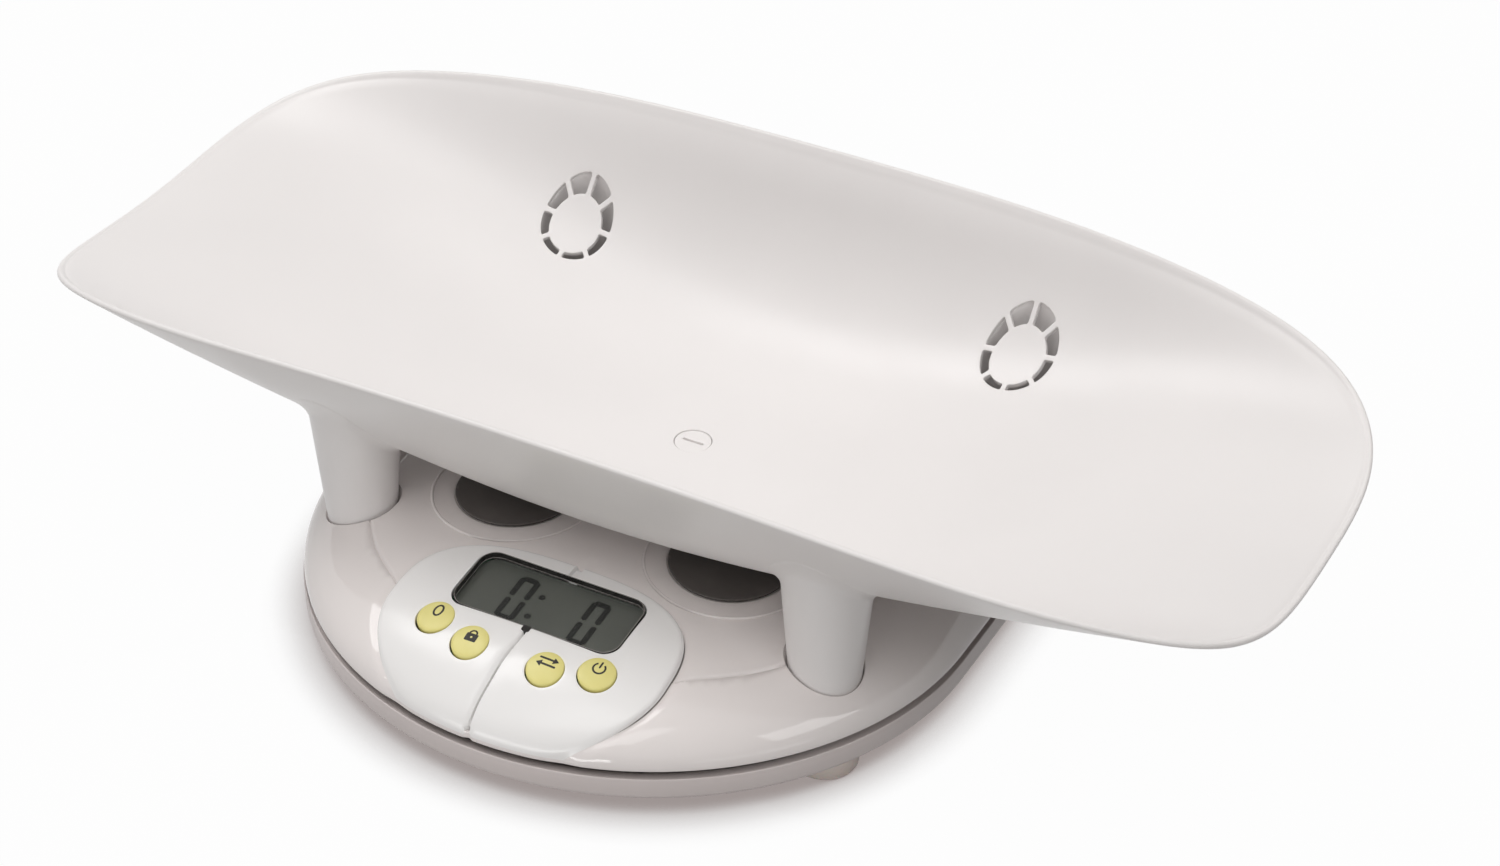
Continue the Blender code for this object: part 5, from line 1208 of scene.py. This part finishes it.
def make_sign(key):
    """Printed sign that lies on the cap of a key."""
    cx, cy = KEYS[key]
    parts = []
    for outline, holes in SIGNS[key]:
        outline, holes = outline * SIGN_SIZE, [hole * SIGN_SIZE for hole in holes]
        area = np.sum(outline[:, 0] * np.roll(outline[:, 1], -1) - np.roll(outline[:, 0], -1) * outline[:, 1])
        plan, faces = flat_sheet(even(outline if area > 0 else outline[::-1], 0.3), holes, [], 0.5)
        place = plan + (cx, cy)
        z = tilted_height(*place.T, KEY_RISE) - np.interp(np.hypot(*plan.T), *zip(*KEY_TOP))
        spot = np.column_stack([place, z])
        up = np.tile((0.0, 0.0, 1.0), (len(plan), 1))
        half = SIGN_HALF_THICKNESS * up
        parts.append(close_wall(spot + half, up, spot - half, faces, 0.004, 0.004, 1))
    make_piece(key + "_sign", tilted(joined(parts)), key + "_key", "key_yellow", material=KEY_INK, crisp=40.0)


# Display

def segment_tree():
    """Bars of liquid crystal digits: one bar with mitred ends on every point."""
    tree, given = new_tree("bars on points", ("Length", "Width", "Thickness"), Turn="Vector")
    spot = add(tree, "ShaderNodeSeparateXYZ", None,
               {"Vector": add(tree, "GeometryNodeInputPosition").outputs["Position"]})
    known = {"X": spot.outputs["X"], "Length": given["Length"], "Width": given["Width"]}
    for result, operation, *parts in (("radius", "MULTIPLY", "Width", 0.577), ("side", "SIGN", "X"),
                                      ("half", "MULTIPLY", "Length", 0.5),
                                      ("reach", "SUBTRACT", "half", "radius"),
                                      ("push", "MULTIPLY", "side", "reach")):
        known[result] = add(tree, "ShaderNodeMath", {"operation": operation},
                            {i: known.get(part, part) for i, part in enumerate(parts)}).outputs[0]
    hexagon = add(tree, "GeometryNodeMeshCircle", {"fill_type": "NGON"},
                  {"Vertices": 6, "Radius": known["radius"]})
    offset = add(tree, "ShaderNodeCombineXYZ", None, {"X": known["push"]})
    drawn = add(tree, "GeometryNodeSetPosition", None,
                {"Geometry": hexagon.outputs["Mesh"], "Offset": offset.outputs["Vector"]})
    thick = add(tree, "GeometryNodeExtrudeMesh", {"mode": "FACES"},
                {"Mesh": drawn.outputs["Geometry"], "Offset Scale": given["Thickness"]})
    under = add(tree, "GeometryNodeFlipFaces", None, {"Mesh": drawn.outputs["Geometry"]})
    whole = add(tree, "GeometryNodeJoinGeometry")
    for body in (thick, under):
        tree.links.new(body.outputs["Mesh"], whole.inputs[0])
    closed = add(tree, "GeometryNodeMergeByDistance", None,
                 {"Geometry": whole.outputs["Geometry"], "Distance": 0.001 * MM})
    placed = add(tree, "GeometryNodeInstanceOnPoints", None,
                 {"Points": given["Geometry"], "Instance": closed.outputs["Geometry"],
                  "Rotation": given["Turn"]})
    return end_tree(tree, placed.outputs["Instances"], given["Finish"])


def make_digits():
    """Two seven-bar noughts and a colon between them, as the display shows them."""
    upright, across = [], []
    for left, right in DIGIT_SPANS:
        for sy in (-1.0, 1.0):
            across.append(((left + right) / 2.0, DIGIT_Y + sy * (DIGIT_HALF - BAR_INSET)))
            upright += [(x, DIGIT_Y + sy * DIGIT_HALF / 2.0) for x in (left + BAR_INSET, right - BAR_INSET)]
    tree = segment_tree()
    parts = []
    for spots, length, width, turn in ((upright, UPRIGHT_BAR, BAR_WIDTH, math.pi / 2.0),
                                       (across, ACROSS_BAR, BAR_WIDTH, 0.0),
                                       (COLON_SPOTS, COLON_LENGTH, COLON_WIDTH, 0.0)):
        item = new_object("bars", [(x * MM, y * MM, (GLASS_TOP + 0.02) * MM) for x, y in spots])
        parts.append(taken(run_tree(item, tree, {
            "Length": length, "Width": width, "Thickness": INK_THICKNESS, "Turn": (0.0, 0.0, turn),
            "Finish": DIGIT_BLACK})))
    make_piece("display_digits", tilted(joined(parts)), "platform", "glass_grey",
               material=DIGIT_BLACK, crisp=30.0)


def frame_tube(profile):
    """A ring round the window from its profile of (inset, height), each line with as many points."""
    rings = []
    for inset, height in profile:
        line = round_box(WINDOW_X - inset, WINDOW_Y - inset, WINDOW_CORNER - inset, 0.9)
        rings.append(at(even(line, count=FRAME_STEPS), height))
    return tube(rings)


def make_bezel():
    """Dark stepped frame that lines the window opening, with the tab at the head of the groove
    and two thin light grey lines along its edges that are painted highlights."""
    lining = frame_tube([(0.3, -0.5), (0.5, -0.38), (0.7, -0.5), (0.75, -1.4), (0.78, -3.38), (0.3, -3.38)])
    outline = round_box(1.9, 1.5, 0.7, 0.5) + np.array((0.2, -WINDOW_Y - 1.4))
    tab = prism(outline, -2.0, tilted_height(*outline.T, 0.08))
    make_piece("display_frame", tilted(joined([lining, tab])), "platform", "bezel_black",
               "display_bezel", crisp=40.0)
    # Thin light grey tubes along two edges of the frame are painted highlights, standing in for light
    # reflected off the glossy rounded edges.
    edges = [frame_tube(circle(inset, z, 0.13, steps=6)) for inset, z in ((0.62, -0.36), (0.86, -3.24))]
    make_piece("display_edge_lines", tilted(joined(edges)), "platform", "bezel_black", material=PAINTED_EDGE_HIGHLIGHT)


# Lower housing

def make_lower_housing():
    """Shallow housing under the platform: its rim turns inwards as a shaded ledge."""
    low, ledge, inner = HOUSING_FOOT, HOUSING_LEDGE, HOUSING_INNER
    floor_top, ceiling = low + HOUSING_WALL, low + DOOR_TOP + GAP + BATTERY_HEIGHT + BAY_AIR
    profile = [(inner, low), (-2.4, low), (-1.3, low + 0.2), (-0.4, low + 0.7), (0.2, low + 1.4),
               (0.45, low + 2.1), (0.5, low + 2.8), (0.5, 13.0), (0.5, ledge - 0.5), (0.4, ledge - 0.2),
               (0.1, ledge), (-0.3, ledge - 0.1), (-0.5, ledge - 0.6), (-4.4, ledge - 0.6),
               (-4.5, ledge - 2.4), (-2.8, ledge - 4.4), (-2.8, floor_top), (inner, floor_top)]
    side = tube([at(oval(PLATFORM_OVAL, 1.0, grow, 360), height) for grow, height in profile])
    bay = round_box(BAY_X, BAY_Y, 1.0, 1.5) + np.array(BAY_PLACE)
    bay_outer = round_box(BAY_X + 2.0, BAY_Y + 2.0, 2.0, 1.5) + np.array(BAY_PLACE)
    holes = [bay] + [circle(-x, 0.0, 4.7, 1.0) for x in CELL_SCREWS]
    sheet = flat_sheet(oval(PLATFORM_OVAL, 1.0, inner, 360), holes, [], 9.0)
    floor = plate(*sheet, floor_top, low, 0.02, 0.02, 1)
    walls = tube([at(even(line, count=120), height) for line, height in (
        (bay, low + 1.0), (bay, ceiling), (bay_outer, ceiling), (bay_outer, low + 1.0))])
    roof = prism(bay_outer, ceiling - 0.01, ceiling + 2.0)
    boss_outline = round_box(17.0, 17.0, 2.5, 3.0) - np.array((sum(CELL_SCREWS) / 2.0, 0.0))
    boss = plate(*flat_sheet(boss_outline, [circle(-x, 0.0, 2.8, 0.9) for x in CELL_SCREWS], [], 4.0),
                 11.7, 10.0, 0.2, 0.2, 2)
    make_piece("lower_shell", joined([side, floor, walls, roof, boss]), "base", "lower_white",
               "lower_housing", crisp=50.0)


def make_feet():
    """Four round translucent feet with a shallow dish below."""
    profile = [(9.5, 0.6), (10.2, 0.15), (10.9, 0.0), (13.2, 0.0), (14.0, 0.3), (FOOT_RADIUS, 1.1),
               (FOOT_RADIUS, 7.0), (14.2, 7.5), (13.5, 8.6)]
    spots = [(sx * FOOT_X, y + SHIFT / MM, 0.0) for sx in (-1, 1) for y in (FOOT_FRONT_Y, FOOT_REAR_Y)]
    item = on_points("rubber_feet", lathe(profile, 48), spots, "foot_rubber")
    item.data.shade_smooth()
    item.data.set_sharp_from_angle(angle=math.radians(50.0))
    settle(item, "base", "foot_rubber", "foot_left_front", "foot_left_rear",
           "foot_right_front", "foot_right_rear")


def make_battery_door():
    """Flap under the battery bay with rounded edges and raised grip lines."""
    low, (x, y) = HOUSING_FOOT, BAY_PLACE
    outline = round_box(BAY_X - 0.7, BAY_Y - 0.7, 0.8, 1.5) + np.array(BAY_PLACE)
    flap = plate(*flat_sheet(outline, [], [], 5.0), low + DOOR_TOP, low + 0.5, 0.4, 0.4, 3)
    rib = prism(bar(-9.0, 0.0, 9.0, 0.0, 0.8), low, low + 0.8)
    ribs = taken(on_points("ribs", rib, [(x, y - 8.0 + i * 1.8, 0.0) for i in range(7)], "door_white"))
    make_piece("battery_flap", joined([flap, ribs]), "battery_door", "door_white", "battery_door", crisp=40.0)


# Stage

# Each lamp: name, place in metres, size in metres and power in watts.
LAMPS = [
    ("overhead_left", (-1.0, 0.0, 1.75), 0.9, 0.9, 9.7),
    ("overhead_front", (0.0, -0.95, 1.75), 0.9, 0.9, 4.1),
    ("overhead_rear", (0.0, 0.95, 1.75), 0.9, 0.9, 3.9),
    ("side_left", (-1.75, -0.1, 0.9), 2.2, 1.5, 0.3),
    ("side_right", (1.1, -1.5, 0.9), 1.2, 0.9, 0.5),
    ("small_right", (1.07, -0.25, 0.75), 0.6, 0.42, 1.7),
    ("low_front", (-0.25, -1.8, 0.16), 1.6, 0.25, 6.9),
    ("low_right", (1.6, -1.1, 0.16), 1.2, 0.25, 0.9),
]
LAMP_TARGET, ROOM = Vector((0.0, 0.0, 0.07)), 0.82

# The camera of the photograph: its place in metres, its turn in degrees, and its focal length and
# the shift of its middle as shares of the picture's width.
EYE = (0.583, -1.0484 + SHIFT, 0.9149)
EYE_DOWN, EYE_TURN, EYE_LEAN = 35.55, -28.06, 0.48
SENSOR, FOCAL, EYE_SHIFT = 36.0, 3318.08 / 1500.0, (9.02 / 1500.0, 5.31 / 1500.0)


def set_camera():
    """Camera of the photograph, found from the tray's rim, the legs and the platform."""
    eye = bpy.data.cameras.new("camera")
    eye.sensor_width, eye.lens, eye.clip_end = SENSOR, FOCAL * SENSOR, 50.0
    eye.shift_x, eye.shift_y = EYE_SHIFT
    down, turn, lean = [math.radians(angle) for angle in (EYE_DOWN, EYE_TURN, EYE_LEAN)]
    ahead = Vector((math.sin(turn) * math.cos(down), math.cos(turn) * math.cos(down), -math.sin(down)))
    level = Vector((math.cos(turn), -math.sin(turn), 0.0))
    up = level.cross(ahead)
    axes = Matrix((level * math.cos(lean) + up * math.sin(lean), up * math.cos(lean) - level * math.sin(lean),
                   -ahead)).transposed().to_4x4()
    item = bpy.data.objects.new("camera", eye)
    bpy.context.scene.collection.objects.link(item)
    item.matrix_world = Matrix.Translation(EYE) @ axes
    bpy.context.scene.camera = item


def set_stage():
    """White paper below, the lamps, and a pale room that is white where it is seen."""
    item = new_object("paper", [(-8, -8, -0.0002), (8, -8, -0.0002), (8, 8, -0.0002), (-8, 8, -0.0002)],
                      [], [(0, 1, 2, 3)])
    item.data.materials.append(studio_floor())
    for name, place, width, height, power in LAMPS:
        lamp = bpy.data.lights.new(name, "AREA")
        lamp.shape = "RECTANGLE"
        lamp.size, lamp.size_y, lamp.energy = width, height, power
        item = bpy.data.objects.new(name, lamp)
        bpy.context.scene.collection.objects.link(item)
        item.location = place
        item.rotation_euler = (LAMP_TARGET - Vector(place)).to_track_quat("-Z", "Y").to_euler()
    world = bpy.data.worlds.new("studio")
    bpy.context.scene.world = world
    world.use_nodes = True
    tree = world.node_tree
    tree.nodes.clear()
    way = add(tree, "ShaderNodeSeparateXYZ", None,
              {"Vector": add(tree, "ShaderNodeTexCoord").outputs["Generated"]})
    ceiling = add(tree, "ShaderNodeMapRange", {"interpolation_type": "SMOOTHSTEP"},
                  {"Value": way.outputs["Z"], "From Min": 0.45, "From Max": 0.85,
                   "To Min": 0.0, "To Max": ROOM})
    room = add(tree, "ShaderNodeBackground", None,
               {"Color": paint_colour("F6F2EF"), "Strength": ceiling.outputs["Result"]})
    white = add(tree, "ShaderNodeBackground", None, {"Color": paint_colour("FFFFFF"), "Strength": 1.0})
    mix = add(tree, "ShaderNodeMixShader", None,
              {0: seen_directly(tree), 1: room.outputs[0], 2: white.outputs[0]})
    add(tree, "ShaderNodeOutputWorld", None, {"Surface": mix.outputs[0]})
    bpy.context.scene.view_settings.view_transform = "Standard"


set_camera()
for entry in frame["record"]["subparts"]:
    solid = frame["nodes"][entry["node"]]
    for holder in solid.material_slots:
        holder.material = FINISH[entry["material_slot"]]
make_tray()
make_tray_screw()
make_platform()
make_pad_rings()
make_pad(-1.0, "standing_pad_left")
make_pad(1.0, "standing_pad_right")
make_panel()
for key in KEYS:
    make_key(key)
    make_sign(key)
make_digits()
make_bezel()
make_lower_housing()
make_feet()
make_battery_door()
set_stage()
